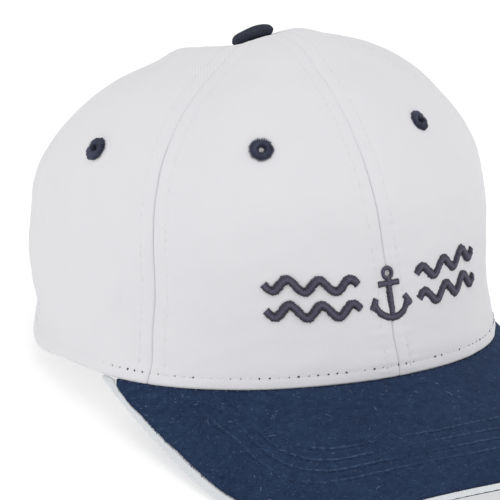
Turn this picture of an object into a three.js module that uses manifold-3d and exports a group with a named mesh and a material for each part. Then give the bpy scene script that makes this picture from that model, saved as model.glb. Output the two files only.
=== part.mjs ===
// A soft six-panel cap with a curved sandwich peak, standing on its back rim and the sides of its peak.
// Millimetres, +Z up. The peak points to -Y and the wearer's right is -X.
//
// The crown is worked out in the cap's own frame, where the rim lies near z = 0. A place on it has an
// angle, in degrees from the front (positive towards the wearer's left), and a height t, from 0 at the
// rim to 1 under the button. The last group tips the whole cap back until it stands on the floor.

import * as THREE from "three";
import { mergeVertices } from "three/addons/utils/BufferGeometryUtils.js";
import Module from "manifold-3d";

const wasm = await Module();
wasm.setup();

// Walls and clearances
const GAP = 0.3;
const CLOTH = 1.6;
const BAND_CLOTH = 1.2;
const STRAP_CLOTH = 1.4;

// Sections of the crown from rim to button: where each section's front, back and sides lie
const CROWN_COLUMNS = ["t", "frontY", "backY", "halfWidth", "widestY", "frontZ", "sideZ", "backZ"];
const CROWN_ROWS = [
  [0.0, -90.5, 91.0, 88.4, 4.0, 7.5, 1.0, -1.3],
  [0.06, -89.5, 93.5, 86.0, 3.0, 13.5, 9.5, 6.5],
  [0.13, -87.5, 97.5, 84.1, 1.5, 20.0, 19.5, 15.5],
  [0.28, -83.0, 103.0, 83.8, 0.5, 35.0, 39.5, 32.5],
  [0.44, -78.5, 100.0, 84.0, 0.5, 51.5, 59.0, 47.0],
  [0.58, -72.0, 88.5, 81.0, 1.0, 69.5, 74.0, 60.5],
  [0.7, -61.5, 75.5, 72.5, 3.0, 86.0, 87.0, 73.5],
  [0.8, -50.0, 61.0, 59.3, 4.5, 98.4, 99.6, 85.0],
  [0.89, -33.0, 44.5, 40.5, 5.5, 109.6, 108.3, 96.5],
  [0.95, -15.5, 29.0, 21.5, 8.0, 117.0, 111.9, 104.6],
  [0.98, 1.0, 20.0, 9.5, 11.0, 116.1, 111.5, 107.2],
  [1.0, 12.5, 12.5, 0.0, 12.5, 110.8, 110.8, 110.8],
];

// Dents of the soft cloth, and bulges where the depth is negative: each fades out over its two widths
const DENT_COLUMNS = ["angle", "t", "angleWidth", "tWidth", "depth"];
const DENT_ROWS = [
  [-109, 0.875, 16, 0.045, 2.4],
  [-112, 0.935, 16, 0.03, -0.6],
  [-113, 0.045, 18, 0.04, 3.0],
  [-112, 0.2, 26, 0.09, -1.8],
  [50, 0.17, 20, 0.1, 0.8],
  [61, 0.957, 50, 0.02, -2.4],
  [-130, 0.92, 18, 0.023, -1.8],
];

// The gores meet at seams, where the cloth is drawn in a little
const SIDE_SEAM = 62;
const REAR_SEAM = 120;
const SEAM_DEPTH = 0.7;
const SEAM_WIDTH = 6;
const GORES = [
  { name: "front_panel_right", from: -SIDE_SEAM, to: 0 },
  { name: "front_panel_left", from: 0, to: SIDE_SEAM },
  { name: "side_panel_right", from: -REAR_SEAM, to: -SIDE_SEAM },
  { name: "side_panel_left", from: SIDE_SEAM, to: REAR_SEAM },
  { name: "back_panel_right", from: -180, to: -REAR_SEAM },
  { name: "back_panel_left", from: REAR_SEAM, to: 180 },
];
const GORE_STEPS = 8;
const CROWN_TOP = 0.9935;
const CROWN_HEIGHTS = [
  0, 0.03, 0.06, 0.1, 0.14, 0.19, 0.24, 0.3, 0.37, 0.44, 0.51, 0.58, 0.64, 0.7, 0.75, 0.8, 0.85, 0.89, 0.92, 0.95,
  0.975, CROWN_TOP,
];

// Stitched eyelets: a collar on the outside, a neck through the cloth and a lip inside
const EYELETS = [
  { name: "eyelet_front_right", angle: -31.7, t: 0.7255, gore: "front_panel_right" },
  { name: "eyelet_front_left", angle: 28.8, t: 0.7355, gore: "front_panel_left" },
  { name: "eyelet_side_right", angle: -89, t: 0.655, gore: "side_panel_right" },
  { name: "eyelet_side_left", angle: 89, t: 0.655, gore: "side_panel_left" },
  { name: "eyelet_back_right", angle: -149, t: 0.69, gore: "back_panel_right" },
  { name: "eyelet_back_left", angle: 149, t: 0.69, gore: "back_panel_left" },
];
const EYELET_RADIUS = 4.6;
const EYELET_HOLE = 1.4;
const EYELET_NECK = 2.3;
const EYELET_HEIGHT = 1.0;
const EYELET_LIP = 0.6;
const EYELET_SIDES = 12;
const EYELET_SEAT = 0.25;
const EYELET_LIP_GAP = 0.5;

// Cloth-covered button
const BUTTON_RADIUS = 7.8;
const BUTTON_HEIGHT = 5.6;
const BUTTON_SEAT = 0.6;
const BUTTON_SHANK = 1.6;
const BUTTON_WASHER = 5.0;
const BUTTON_WASHER_GAP = 0.8;
const BUTTON_SIDES = 20;

// Peak: an arched sheet that droops forwards, sewn to the rim over its front arc
const PEAK_ARCH_RADIUS = 154;
const PEAK_DROOP = 16;
const PEAK_CORNER = 76.5;
const PEAK_REACH = 161.5;
const PEAK_OUTLINE = [
  [87.4, -60],
  [85.3, -105],
  [73, -139.6],
];
const TRIM_WIDTH = 3.1;
const TRIM_NARROWING = 0.5;
const TRIM_THICK = 1.0;
const TRIM_LIFT = 0.7;
const TRIM_TUCK = 1.2;
const TOP_COVER_THICK = 0.8;
const PEAK_THICK = 4.2;
const TRIM_SEAT = 6;
const PEAK_END = 0.985;
const PEAK_STEPS = 36;

// Sweatband, rear opening and strap: they lie a little inside the crown's wall
const LINING_GAP = 0.5;
const BAND_HEIGHTS = [0.03, 0.06, 0.1, 0.14, 0.19, 0.24];
const BAND_END = 145;
const BAND_STEPS = 38;
const ARCH_HALF_WIDTH = 36;
const ARCH_STRAIGHT = 16;
const ARCH_RISE = 28;
const STRAP_HEIGHTS = [0, 0.06, 0.1, 0.15];
const STRAP_HALF_ANGLE = 32;
const STRAP_STEPS = 12;

// Embroidery across the front: an anchor between waves, laid out flat as (along, up) from its middle
const STITCH_WIDTH = 3.2;
const STITCH_THICK = 0.9;
const MOTIF_T = 0.305;
const MOTIF_HEIGHT = 20;
const WAVE_START = 13;
const WAVE_LENGTH = 36;
const WAVE_COUNT = 3;
const WAVE_RISE = 2.2;
const WAVE_LIFT = 4.6;

// Standing: the cap is tipped back by this angle and lifted, and what would reach below is flat
const REST_PITCH = 7.35;
const REST_LIFT = 11.75;
const REST_SHIFT = 28.2;

const WHITE = new THREE.MeshStandardMaterial({ color: 0xdedee2, roughness: 0.9, metalness: 0 });
const NAVY = new THREE.MeshStandardMaterial({ color: 0x2c3a5c, roughness: 0.95, metalness: 0 });
const TRIM_WHITE = new THREE.MeshStandardMaterial({ color: 0xd6d7da, roughness: 0.9, metalness: 0 });
const THREAD = new THREE.MeshStandardMaterial({ color: 0x34344a, roughness: 0.6, metalness: 0 });
const DARK_NAVY = new THREE.MeshStandardMaterial({ color: 0x1e263c, roughness: 0.7, metalness: 0 });

const radians = THREE.MathUtils.degToRad;
const clamp = THREE.MathUtils.clamp;
const lerp = THREE.MathUtils.lerp;

// Smooth curves through a table

// Each column's slope at each row: the weighted mean of the slopes on both sides of the row.
function slopesOf(rows) {
  const last = rows.length - 1;
  const rise = (k, column) => (rows[k + 1][column] - rows[k][column]) / (rows[k + 1][0] - rows[k][0]);
  const slopes = rows.map((row, k) =>
    row.map((_, column) => {
      if (k === 0 || k === last) return 0;
      const before = rows[k][0] - rows[k - 1][0];
      const after = rows[k + 1][0] - rows[k][0];
      return (rise(k - 1, column) * after + rise(k, column) * before) / (before + after);
    }),
  );
  slopes[0] = slopes[0].map((_, column) => 1.5 * rise(0, column) - 0.5 * slopes[1][column]);
  slopes[last] = slopes[last].map((_, column) => 1.5 * rise(last - 1, column) - 0.5 * slopes[last - 1][column]);
  return slopes;
}

const CROWN_SLOPES = slopesOf(CROWN_ROWS);

// The crown's section at height t, by cubic curves through the table's rows.
function crownSection(t) {
  const last = CROWN_ROWS.length - 2;
  const found = CROWN_ROWS.findIndex((row, k) => k <= last && t < CROWN_ROWS[k + 1][0]);
  const k = found < 0 ? last : found;
  const low = CROWN_ROWS[k];
  const high = CROWN_ROWS[k + 1];
  const span = high[0] - low[0];
  const w = (t - low[0]) / span;
  const section = {};
  CROWN_COLUMNS.forEach((name, column) => {
    section[name] =
      (2 * w ** 3 - 3 * w ** 2 + 1) * low[column] +
      (w ** 3 - 2 * w ** 2 + w) * span * CROWN_SLOPES[k][column] +
      (3 * w ** 2 - 2 * w ** 3) * high[column] +
      (w ** 3 - w ** 2) * span * CROWN_SLOPES[k + 1][column];
  });
  return section;
}

// The crown before its seams and dents: two half ellipses in plan. Its height runs from front to sides to
// back by a power of the cosine, 2 below and 1 round the button, where the section is a tilted disc.
function smoothCrown(angle, t) {
  const section = crownSection(t);
  const s = Math.sin(radians(angle));
  const c = Math.cos(radians(angle));
  const reach = c > 0 ? section.widestY - section.frontY : section.backY - section.widestY;
  const power = 2 - THREE.MathUtils.smoothstep(t, 0.9, 0.98);
  const end = c > 0 ? section.frontZ : section.backZ;
  return new THREE.Vector3(
    section.halfWidth * s,
    section.widestY - reach * c,
    lerp(section.sideZ, end, Math.abs(c) ** power),
  );
}

function crownNormal(angle, t) {
  const near = clamp(t, 0.002, 0.998);
  const step = 0.001;
  const round = smoothCrown(angle + 0.1, near).sub(smoothCrown(angle - 0.1, near));
  const up = smoothCrown(angle, near + step).sub(smoothCrown(angle, near - step));
  return round.cross(up).normalize();
}

function angleBetween(a, b) {
  return ((((a - b + 180) % 360) + 360) % 360) - 180;
}

// How far the surface lies inside the smooth crown: the seam's hollow, and the dents.
function crownDepth(angle, t) {
  const section = crownSection(t);
  const perDegree = radians(section.halfWidth);
  const seams = [0, SIDE_SEAM, -SIDE_SEAM, REAR_SEAM, -REAR_SEAM, 180];
  const nearest = Math.min(...seams.map((seam) => Math.abs(angleBetween(angle, seam)))) * perDegree;
  const awayFromRim = THREE.MathUtils.smoothstep(t, 0.1, 0.4);
  const awayFromButton = THREE.MathUtils.smoothstep(section.halfWidth, 10, 35);
  let depth = SEAM_DEPTH * awayFromRim * awayFromButton * Math.exp(-((nearest / SEAM_WIDTH) ** 2));
  for (const row of DENT_ROWS) {
    const dent = Object.fromEntries(DENT_COLUMNS.map((name, column) => [name, row[column]]));
    const aside = angleBetween(angle, dent.angle) / dent.angleWidth;
    const above = (t - dent.t) / dent.tWidth;
    depth += dent.depth * Math.exp(-(aside ** 2) - above ** 2);
  }
  return depth;
}

// A point of the crown, depth millimetres inside its outer face.
function crownPoint(angle, t, depth = 0) {
  const inwards = crownNormal(angle, t).multiplyScalar(-(crownDepth(angle, t) + depth));
  return smoothCrown(angle, t).add(inwards);
}

// Closed bodies

// A closed body from points and triangles, turned so that its faces point outwards.
function closedBody(points, triangles) {
  const geometry = new THREE.BufferGeometry();
  let volume = 0;
  for (const [a, b, c] of triangles) {
    volume += points[a].dot(new THREE.Vector3().crossVectors(points[b], points[c]));
  }
  const faces = volume < 0 ? triangles.map(([a, b, c]) => [a, c, b]) : triangles;
  geometry.setAttribute("position", new THREE.Float32BufferAttribute(points.flatMap((p) => p.toArray()), 3));
  geometry.setIndex(faces.flat());
  return geometry;
}

// A sheet with a thickness: two grids of the same size, rows of points, joined round their edges.
function sheetBetween(outer, inner) {
  const rows = outer.length;
  const columns = outer[0].length;
  const points = [...outer.flat(), ...inner.flat()];
  const at = (layer, r, c) => layer * rows * columns + r * columns + c;
  const triangles = [];
  const quad = (a, b, c, d) => triangles.push([a, b, c], [a, c, d]);
  for (let r = 0; r < rows - 1; r += 1) {
    for (let c = 0; c < columns - 1; c += 1) {
      quad(at(0, r, c), at(0, r, c + 1), at(0, r + 1, c + 1), at(0, r + 1, c));
      quad(at(1, r, c), at(1, r + 1, c), at(1, r + 1, c + 1), at(1, r, c + 1));
    }
    quad(at(0, r, 0), at(0, r + 1, 0), at(1, r + 1, 0), at(1, r, 0));
    quad(at(0, r, columns - 1), at(1, r, columns - 1), at(1, r + 1, columns - 1), at(0, r + 1, columns - 1));
  }
  for (let c = 0; c < columns - 1; c += 1) {
    quad(at(0, 0, c), at(1, 0, c), at(1, 0, c + 1), at(0, 0, c + 1));
    quad(at(0, rows - 1, c), at(0, rows - 1, c + 1), at(1, rows - 1, c + 1), at(1, rows - 1, c));
  }
  return closedBody(points, triangles);
}

// A body lofted through sections: each is a closed loop of flat points, placed in space by place(k, flat).
function loftedBody(sections, place) {
  const count = sections[0].length;
  const last = sections.length - 1;
  const points = sections.flatMap((section, k) => section.map((flat) => place(k, flat)));
  const triangles = [];
  for (let k = 0; k < last; k += 1) {
    for (let i = 0; i < count; i += 1) {
      const next = (i + 1) % count;
      const a = k * count + i;
      const b = k * count + next;
      triangles.push([a, b, b + count], [a, b + count, a + count]);
    }
  }
  for (const k of [0, last]) {
    const loop = sections[k].map((flat) => new THREE.Vector2(flat[0], flat[1]));
    const clockwise = THREE.ShapeUtils.isClockWise(loop);
    for (const [a, b, c] of THREE.ShapeUtils.triangulateShape(loop, [])) {
      const face = [a + k * count, b + k * count, c + k * count];
      const keep = (k === 0) === clockwise;
      triangles.push(keep ? face : face.reverse());
    }
  }
  return closedBody(points, triangles);
}

function toSolid(geometry) {
  const bare = new THREE.BufferGeometry();
  bare.setAttribute("position", geometry.getAttribute("position"));
  bare.setIndex(geometry.getIndex());
  const merged = mergeVertices(bare, 0.0001);
  const mesh = new wasm.Mesh({
    numProp: 3,
    vertProperties: new Float32Array(merged.getAttribute("position").array),
    triVerts: new Uint32Array(merged.getIndex().array),
  });
  return new wasm.Manifold(mesh);
}

function toGeometry(solid) {
  const mesh = solid.getMesh();
  const geometry = new THREE.BufferGeometry();
  geometry.setAttribute("position", new THREE.BufferAttribute(mesh.vertProperties, 3));
  geometry.setIndex(new THREE.BufferAttribute(mesh.triVerts, 1));
  return geometry;
}

function cut(geometry, ...tools) {
  return toGeometry(tools.reduce((solid, tool) => solid.subtract(toSolid(tool)), toSolid(geometry)));
}

function fuse(geometries) {
  return toGeometry(geometries.map(toSolid).reduce((whole, solid) => whole.add(solid)));
}

// Moves a shape that was made round +Z to a place on the crown, with its +Z along the crown's normal.
function standOnCrown(geometry, angle, t) {
  const turn = new THREE.Quaternion().setFromUnitVectors(new THREE.Vector3(0, 0, 1), crownNormal(angle, t));
  return geometry.clone().applyQuaternion(turn).translate(...crownPoint(angle, t).toArray());
}

function turned(profile, sides) {
  return new THREE.LatheGeometry(
    profile.map(([radius, height]) => new THREE.Vector2(radius, height)),
    sides,
  ).rotateX(Math.PI / 2);
}

// Crown

// A gore's wall. Its edges stay half a gap away from the seams, and its lower edge is level.
function goreWall(gore) {
  const gridAt = (depth) =>
    CROWN_HEIGHTS.map((t) => {
      const middle = (gore.from + gore.to) / 2;
      const perDegree = smoothCrown(middle + 0.5, t).distanceTo(smoothCrown(middle - 0.5, t));
      const inset = GAP / 2 / perDegree;
      const row = [];
      for (let k = 0; k <= GORE_STEPS; k += 1) {
        const angle = lerp(gore.from + inset, gore.to - inset, k / GORE_STEPS);
        const point = crownPoint(angle, t, depth);
        if (t === 0) point.z = crownPoint(angle, t).z;
        row.push(point);
      }
      return row;
    });
  return sheetBetween(gridAt(0), gridAt(CLOTH));
}

// The rear opening: a straight-sided arch, cut from inside the crown out through its back.
function rearArch() {
  const shape = new THREE.Shape();
  shape.moveTo(-ARCH_HALF_WIDTH, -10);
  shape.lineTo(ARCH_HALF_WIDTH, -10);
  shape.lineTo(ARCH_HALF_WIDTH, ARCH_STRAIGHT);
  shape.absellipse(0, ARCH_STRAIGHT, ARCH_HALF_WIDTH, ARCH_RISE, 0, Math.PI, false);
  const arch = new THREE.ExtrudeGeometry(shape, { depth: 80, bevelEnabled: false, curveSegments: 8 });
  return arch.rotateX(Math.PI / 2).translate(0, 130, 0);
}

function eyeletHole(eyelet) {
  const hole = new THREE.CylinderGeometry(EYELET_NECK + GAP, EYELET_NECK + GAP, 8, EYELET_SIDES);
  return standOnCrown(hole.rotateX(Math.PI / 2), eyelet.angle, eyelet.t);
}

function eyeletRing(eyelet) {
  const inside = -CLOTH - EYELET_LIP_GAP;
  const profile = [
    [EYELET_HOLE, inside - EYELET_LIP],
    [EYELET_RADIUS - 0.8, inside - EYELET_LIP],
    [EYELET_RADIUS - 0.8, inside],
    [EYELET_NECK, inside],
    [EYELET_NECK, EYELET_SEAT],
    [EYELET_RADIUS, EYELET_SEAT],
    [EYELET_RADIUS - 0.9, EYELET_SEAT + EYELET_HEIGHT],
    [EYELET_HOLE, EYELET_SEAT + EYELET_HEIGHT - 0.3],
    [EYELET_HOLE, inside - EYELET_LIP],
  ];
  return standOnCrown(turned(profile, EYELET_SIDES), eyelet.angle, eyelet.t);
}

function button() {
  const washerTop = -CLOTH - BUTTON_WASHER_GAP;
  const profile = [
    [0, washerTop - 0.8],
    [BUTTON_WASHER, washerTop - 0.8],
    [BUTTON_WASHER, washerTop],
    [BUTTON_SHANK, washerTop],
    [BUTTON_SHANK, BUTTON_SEAT],
    [BUTTON_RADIUS - 0.7, BUTTON_SEAT],
    [BUTTON_RADIUS, BUTTON_SEAT + 0.9],
  ];
  for (const lean of [18, 38, 58, 76]) {
    const side = BUTTON_RADIUS * Math.cos(radians(lean));
    profile.push([side, BUTTON_SEAT + 0.9 + (BUTTON_HEIGHT - 0.9) * Math.sin(radians(lean))]);
  }
  profile.push([0, BUTTON_SEAT + BUTTON_HEIGHT]);
  return standOnCrown(turned(profile, BUTTON_SIDES), 0, 1);
}

// Peak

const PEAK_CURVE = peakCurve();

// The peak's outer edge in plan, a smooth curve from rim corner to rim corner.
function peakCurve() {
  const corner = crownPoint(PEAK_CORNER, 0);
  const side = [[corner.x, corner.y], ...PEAK_OUTLINE];
  const places = [
    ...side.map(([x, y]) => new THREE.Vector3(-x, y, 0)),
    new THREE.Vector3(0, -PEAK_REACH, 0),
    ...side.reverse().map(([x, y]) => new THREE.Vector3(x, y, 0)),
  ];
  return new THREE.CatmullRomCurve3(places, false, "centripetal");
}

// The arched, drooping sheet that the peak's upper face follows.
function peakSheet(x, y) {
  const rim = CROWN_ROWS[0];
  const droop = Math.tan(radians(PEAK_DROOP)) * (rim[1] - y);
  const arch = PEAK_ARCH_RADIUS - Math.sqrt(PEAK_ARCH_RADIUS ** 2 - x * x);
  return rim[5] - droop - arch;
}

// One line of the peak from the rim outwards, for u from -1 at one corner to 1 at the other. The white
// strip past the covers gets narrower towards the corners.
function peakLine(u) {
  const angle = u * PEAK_CORNER;
  const rim = crownPoint(angle, 0);
  const outward = crownNormal(angle, 0).setZ(0).normalize();
  const outer = PEAK_CURVE.getPointAt((1 + u) / 2);
  const tangent = PEAK_CURVE.getTangentAt((1 + u) / 2);
  const along = new THREE.Vector3(outer.x - rim.x, outer.y - rim.y, 0);
  const length = along.length();
  along.divideScalar(length);
  const slant = Math.abs(along.x * tangent.y - along.y * tangent.x);
  const trim = (TRIM_WIDTH * (1 - TRIM_NARROWING * THREE.MathUtils.smoothstep(Math.abs(u), 0.77, 0.9))) / slant;
  return { rim, outward, along, length, slant, trim, lift: rim.z - GAP - peakSheet(rim.x, rim.y) };
}

// A point of the peak, out millimetres along its line and down below the upper face. A negative out is
// the seam allowance under the crown's wall.
function peakPoint(line, out, down) {
  if (out < 0) {
    const tucked = line.rim.clone().addScaledVector(line.outward, out);
    return tucked.setZ(line.rim.z - GAP - down);
  }
  const x = line.rim.x + line.along.x * out;
  const y = line.rim.y + line.along.y * out;
  const away = 1 - Math.min(out / line.length, 1);
  return new THREE.Vector3(x, y, peakSheet(x, y) + line.lift * away ** 2 - down);
}

function navyLength(line) {
  return line.length - line.trim;
}

function seatLength(line) {
  return Math.max(navyLength(line) - TRIM_SEAT / line.slant, 0);
}

// A piece of the peak, lofted through the profiles on lines that are spread over the navy covers' reach,
// and on further ones out to the corners where the piece runs on to them.
function peakPiece(cornerSteps, profileOf) {
  const reach = coverReach();
  const places = [];
  for (let k = 0; k < cornerSteps; k += 1) places.push(-lerp(PEAK_END, reach, k / cornerSteps));
  for (let k = 0; k <= PEAK_STEPS; k += 1) places.push(lerp(-reach, reach, k / PEAK_STEPS));
  for (let k = cornerSteps - 1; k >= 0; k -= 1) places.push(lerp(PEAK_END, reach, k / cornerSteps));
  const lines = places.map(peakLine);
  return loftedBody(lines.map(profileOf), (k, [out, down]) => peakPoint(lines[k], out, down));
}

// How far round the navy covers reach: to where their edge runs in under the crown.
function coverReach() {
  let reach = 1;
  while (navyLength(peakLine(reach)) < 1) reach -= 0.002;
  return reach;
}

function alongTop(from, to, down, steps) {
  const row = [];
  for (let k = 0; k <= steps; k += 1) row.push([lerp(from, to, k / steps), down]);
  return row;
}

function peakTopCover() {
  return peakPiece(0, (line) => {
    const edge = navyLength(line);
    return [
      [-CLOTH, 0],
      ...alongTop(0, edge, 0, 4),
      ...alongTop(edge, 0, TOP_COVER_THICK, 4),
      [-CLOTH, TOP_COVER_THICK],
    ];
  });
}

function peakUnderCover() {
  const top = TOP_COVER_THICK + GAP;
  const seat = top + TRIM_THICK + GAP;
  return peakPiece(0, (line) => {
    const edge = navyLength(line);
    const step = seatLength(line);
    const middle = step * 0.5;
    return [
      [-CLOTH, top],
      [middle * 0.02, top],
      [middle + 0.1, top],
      [step + 0.2, top],
      [step + 0.2, seat],
      [edge, seat],
      [edge, PEAK_THICK],
      [lerp(step + 0.2, edge, 0.3), PEAK_THICK],
      [lerp(0, step + 0.2, 0.66), PEAK_THICK],
      [lerp(0, step + 0.2, 0.33), PEAK_THICK],
      [-CLOTH, PEAK_THICK],
    ];
  });
}

// The white strip between the covers, raised a little where it stands out. Past the covers' ends it rises
// to lie just under the rim, and its inner side is tucked in under the crown's wall.
function peakEdgeTrim() {
  return peakPiece(2, (line) => {
    const edge = navyLength(line);
    const covered = THREE.MathUtils.smoothstep(edge, -4, 1);
    const top = (TOP_COVER_THICK + GAP) * covered;
    const raised = top - TRIM_LIFT * covered;
    const inner = edge < 0.9 ? -TRIM_TUCK : seatLength(line) + 0.2 + GAP / line.slant;
    const step = Math.max(edge + GAP / line.slant, inner + 0.2);
    const level = Math.max(edge + 1.0 / line.slant, step + 0.2);
    return [
      [inner, top],
      [step, top],
      [level, raised],
      [line.length, raised],
      [line.length, raised + TRIM_THICK],
      [level, raised + TRIM_THICK],
      [step, top + TRIM_THICK],
      [inner, top + TRIM_THICK],
    ];
  });
}

// Sweatband and strap

function sweatband() {
  const angles = [];
  for (let k = 0; k <= BAND_STEPS; k += 1) angles.push(lerp(-BAND_END, BAND_END, k / BAND_STEPS));
  const gridAt = (depth) => BAND_HEIGHTS.map((t) => angles.map((angle) => crownPoint(angle, t, depth)));
  return sheetBetween(gridAt(CLOTH + LINING_GAP), gridAt(CLOTH + LINING_GAP + BAND_CLOTH));
}

// The strap follows the crown's inner face across the rear opening, and its lower edge is level.
function backStrap() {
  const gridAt = (depth) =>
    STRAP_HEIGHTS.map((t) => {
      const row = [];
      for (let k = 0; k <= STRAP_STEPS; k += 1) {
        const angle = 180 + lerp(-STRAP_HALF_ANGLE, STRAP_HALF_ANGLE, k / STRAP_STEPS);
        const point = crownPoint(angle, t, depth);
        if (t === 0) point.z = crownPoint(angle, 0).z;
        row.push(point);
      }
      return row;
    });
  return sheetBetween(gridAt(CLOTH + LINING_GAP), gridAt(CLOTH + LINING_GAP + STRAP_CLOTH));
}

// Embroidery

// A stitched line that follows a flat path of (along, up) points, raised on the front of the crown.
function stitchedLine(path, width = STITCH_WIDTH) {
  const onCrown = ([along, up], height) => {
    const angle = THREE.MathUtils.radToDeg(along / CROWN_ROWS[3][3]);
    const t = MOTIF_T + up / 104;
    return crownPoint(angle, t, -height);
  };
  const gridAt = (height) =>
    path.map((place, k) => {
      const before = path[Math.max(k - 1, 0)];
      const after = path[Math.min(k + 1, path.length - 1)];
      const length = Math.hypot(after[0] - before[0], after[1] - before[1]);
      const side = [-(after[1] - before[1]) / length, (after[0] - before[0]) / length];
      return [-0.5, 0, 0.5].map((share) => {
        const flat = [place[0] + side[0] * share * width, place[1] + side[1] * share * width];
        return onCrown(flat, height);
      });
    });
  return sheetBetween(gridAt(GAP + STITCH_THICK), gridAt(GAP));
}

function wave(side, lift) {
  const path = [];
  const steps = WAVE_COUNT * 5;
  for (let k = 0; k <= steps; k += 1) {
    const share = k / steps;
    const up = lift + WAVE_RISE * Math.sin(share * WAVE_COUNT * 2 * Math.PI);
    path.push([side * (WAVE_START + share * WAVE_LENGTH), up]);
  }
  return stitchedLine(path);
}

function arcPath(centre, radius, from, to, steps) {
  const path = [];
  for (let k = 0; k <= steps; k += 1) {
    const turn = radians(lerp(from, to, k / steps));
    path.push([centre[0] + radius * Math.cos(turn), centre[1] + radius * Math.sin(turn)]);
  }
  return path;
}

// An anchor: ring, shank, stock and curved arms with their flukes.
function anchor() {
  const half = MOTIF_HEIGHT / 2;
  const straight = (a, b, steps) => {
    const path = [];
    for (let k = 0; k <= steps; k += 1) path.push([lerp(a[0], b[0], k / steps), lerp(a[1], b[1], k / steps)]);
    return path;
  };
  return fuse([
    stitchedLine(arcPath([0, half - 2.6], 1.9, -65, 245, 9), 1.5),
    stitchedLine(straight([0, -half + 1.2], [0, half - 3.9], 2), 2.6),
    stitchedLine(straight([-4.6, half - 6.4], [4.6, half - 6.4], 2), 2.2),
    stitchedLine(arcPath([0, -half + 8.4], 7.4, 194, 346, 8), 2.6),
    stitchedLine(straight([-8.6, -half + 4.4], [-6.2, -half + 8.4], 1), 2.4),
    stitchedLine(straight([8.6, -half + 4.4], [6.2, -half + 8.4], 1), 2.4),
  ]);
}

// Assembly

const cap = new THREE.Group();
cap.rotation.x = -radians(REST_PITCH);
cap.position.set(0, REST_SHIFT, REST_LIFT);

function addPiece(name, geometry, material) {
  const mesh = new THREE.Mesh(geometry, material);
  mesh.name = name;
  mesh.geometry.computeVertexNormals();
  cap.add(mesh);
}

// What lies below the floor when the cap stands.
function floorBlock() {
  cap.updateMatrix();
  const block = new THREE.BoxGeometry(600, 600, 40).translate(0, 0, -20);
  return block.applyMatrix4(cap.matrix.clone().invert());
}

const floor = floorBlock();
for (const gore of GORES) {
  const holes = EYELETS.filter((eyelet) => eyelet.gore === gore.name).map(eyeletHole);
  const tools = gore.name.startsWith("back") ? [...holes, rearArch(), floor] : holes;
  addPiece(gore.name, cut(goreWall(gore), ...tools), WHITE);
}
for (const eyelet of EYELETS) {
  addPiece(eyelet.name, eyeletRing(eyelet), DARK_NAVY);
}
addPiece("top_button", button(), DARK_NAVY);
addPiece("peak_top_cover", peakTopCover(), NAVY);
addPiece("peak_under_cover", cut(peakUnderCover(), floor), NAVY);
addPiece("peak_edge_trim", cut(peakEdgeTrim(), floor), TRIM_WHITE);
addPiece("sweatband", sweatband(), WHITE);
addPiece("back_strap", cut(backStrap(), floor), WHITE);
addPiece("front_anchor", anchor(), THREAD);
for (const [name, side] of [["right", -1], ["left", 1]]) {
  addPiece("front_wave_upper_" + name, wave(side, WAVE_LIFT), THREAD);
  addPiece("front_wave_lower_" + name, wave(side, -WAVE_LIFT), THREAD);
}

export default cap;
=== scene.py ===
"""The looks of a soft six-panel cap: white twill crown, navy twill peak with a white strip round its edge.

Shapes are worked out in millimetres in the cap's own frame, where the rim lies near z = 0, the peak points
to -Y and the wearer's right is -X. A place on the crown has an angle, in degrees from the front (positive
towards the wearer's left), and a height t, from 0 at the rim to 1 under the button. The last step tips the
cap back until it stands on the floor and turns millimetres into metres.
"""

import bpy
import numpy as np
from mathutils import Matrix, Vector


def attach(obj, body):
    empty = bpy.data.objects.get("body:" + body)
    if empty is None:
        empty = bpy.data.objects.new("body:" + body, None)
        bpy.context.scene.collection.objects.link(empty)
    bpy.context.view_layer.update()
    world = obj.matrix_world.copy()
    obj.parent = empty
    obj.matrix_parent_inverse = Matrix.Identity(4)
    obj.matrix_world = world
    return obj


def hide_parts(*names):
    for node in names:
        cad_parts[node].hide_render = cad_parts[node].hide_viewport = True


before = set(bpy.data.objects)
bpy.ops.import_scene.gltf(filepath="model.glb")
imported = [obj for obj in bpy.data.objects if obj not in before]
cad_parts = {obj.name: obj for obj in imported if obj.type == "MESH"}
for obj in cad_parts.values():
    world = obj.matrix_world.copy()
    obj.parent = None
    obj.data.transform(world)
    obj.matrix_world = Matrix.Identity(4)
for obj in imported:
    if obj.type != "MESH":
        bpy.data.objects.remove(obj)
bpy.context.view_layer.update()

# Walls, clearances, and the number of plane waves in a ripple
GAP = 0.3
CLOTH = 1.6
BAND_CLOTH = 1.2
STRAP_CLOTH = 1.4
LINING_GAP = 0.5
RIPPLE_WAVES = 9

# Sections of the crown from rim to button: where each section's front, back and sides lie
CROWN_COLUMNS = ["t", "frontY", "backY", "halfWidth", "widestY", "frontZ", "sideZ", "backZ"]
CROWN_ROWS = np.array([
    [0.0, -90.5, 91.0, 88.4, 4.0, 7.5, 1.0, -1.3],
    [0.06, -89.5, 93.5, 86.0, 3.0, 13.5, 9.5, 6.5],
    [0.13, -87.5, 97.5, 84.1, 1.5, 20.0, 19.5, 15.5],
    [0.28, -83.0, 103.0, 83.8, 0.5, 35.0, 39.5, 32.5],
    [0.44, -78.5, 100.0, 84.0, 0.5, 51.5, 59.0, 47.0],
    [0.58, -72.0, 88.5, 81.0, 1.0, 69.5, 74.0, 60.5],
    [0.7, -61.5, 75.5, 72.5, 3.0, 86.0, 87.0, 73.5],
    [0.8, -50.0, 61.0, 59.3, 4.5, 98.4, 99.6, 85.0],
    [0.89, -33.0, 44.5, 40.5, 5.5, 109.6, 108.3, 96.5],
    [0.95, -15.5, 29.0, 21.5, 8.0, 117.0, 111.9, 104.6],
    [0.98, 1.0, 20.0, 9.5, 11.0, 116.1, 111.5, 107.2],
    [1.0, 12.5, 12.5, 0.0, 12.5, 110.8, 110.8, 110.8],
])
RIM = dict(zip(CROWN_COLUMNS, CROWN_ROWS[0]))

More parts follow.
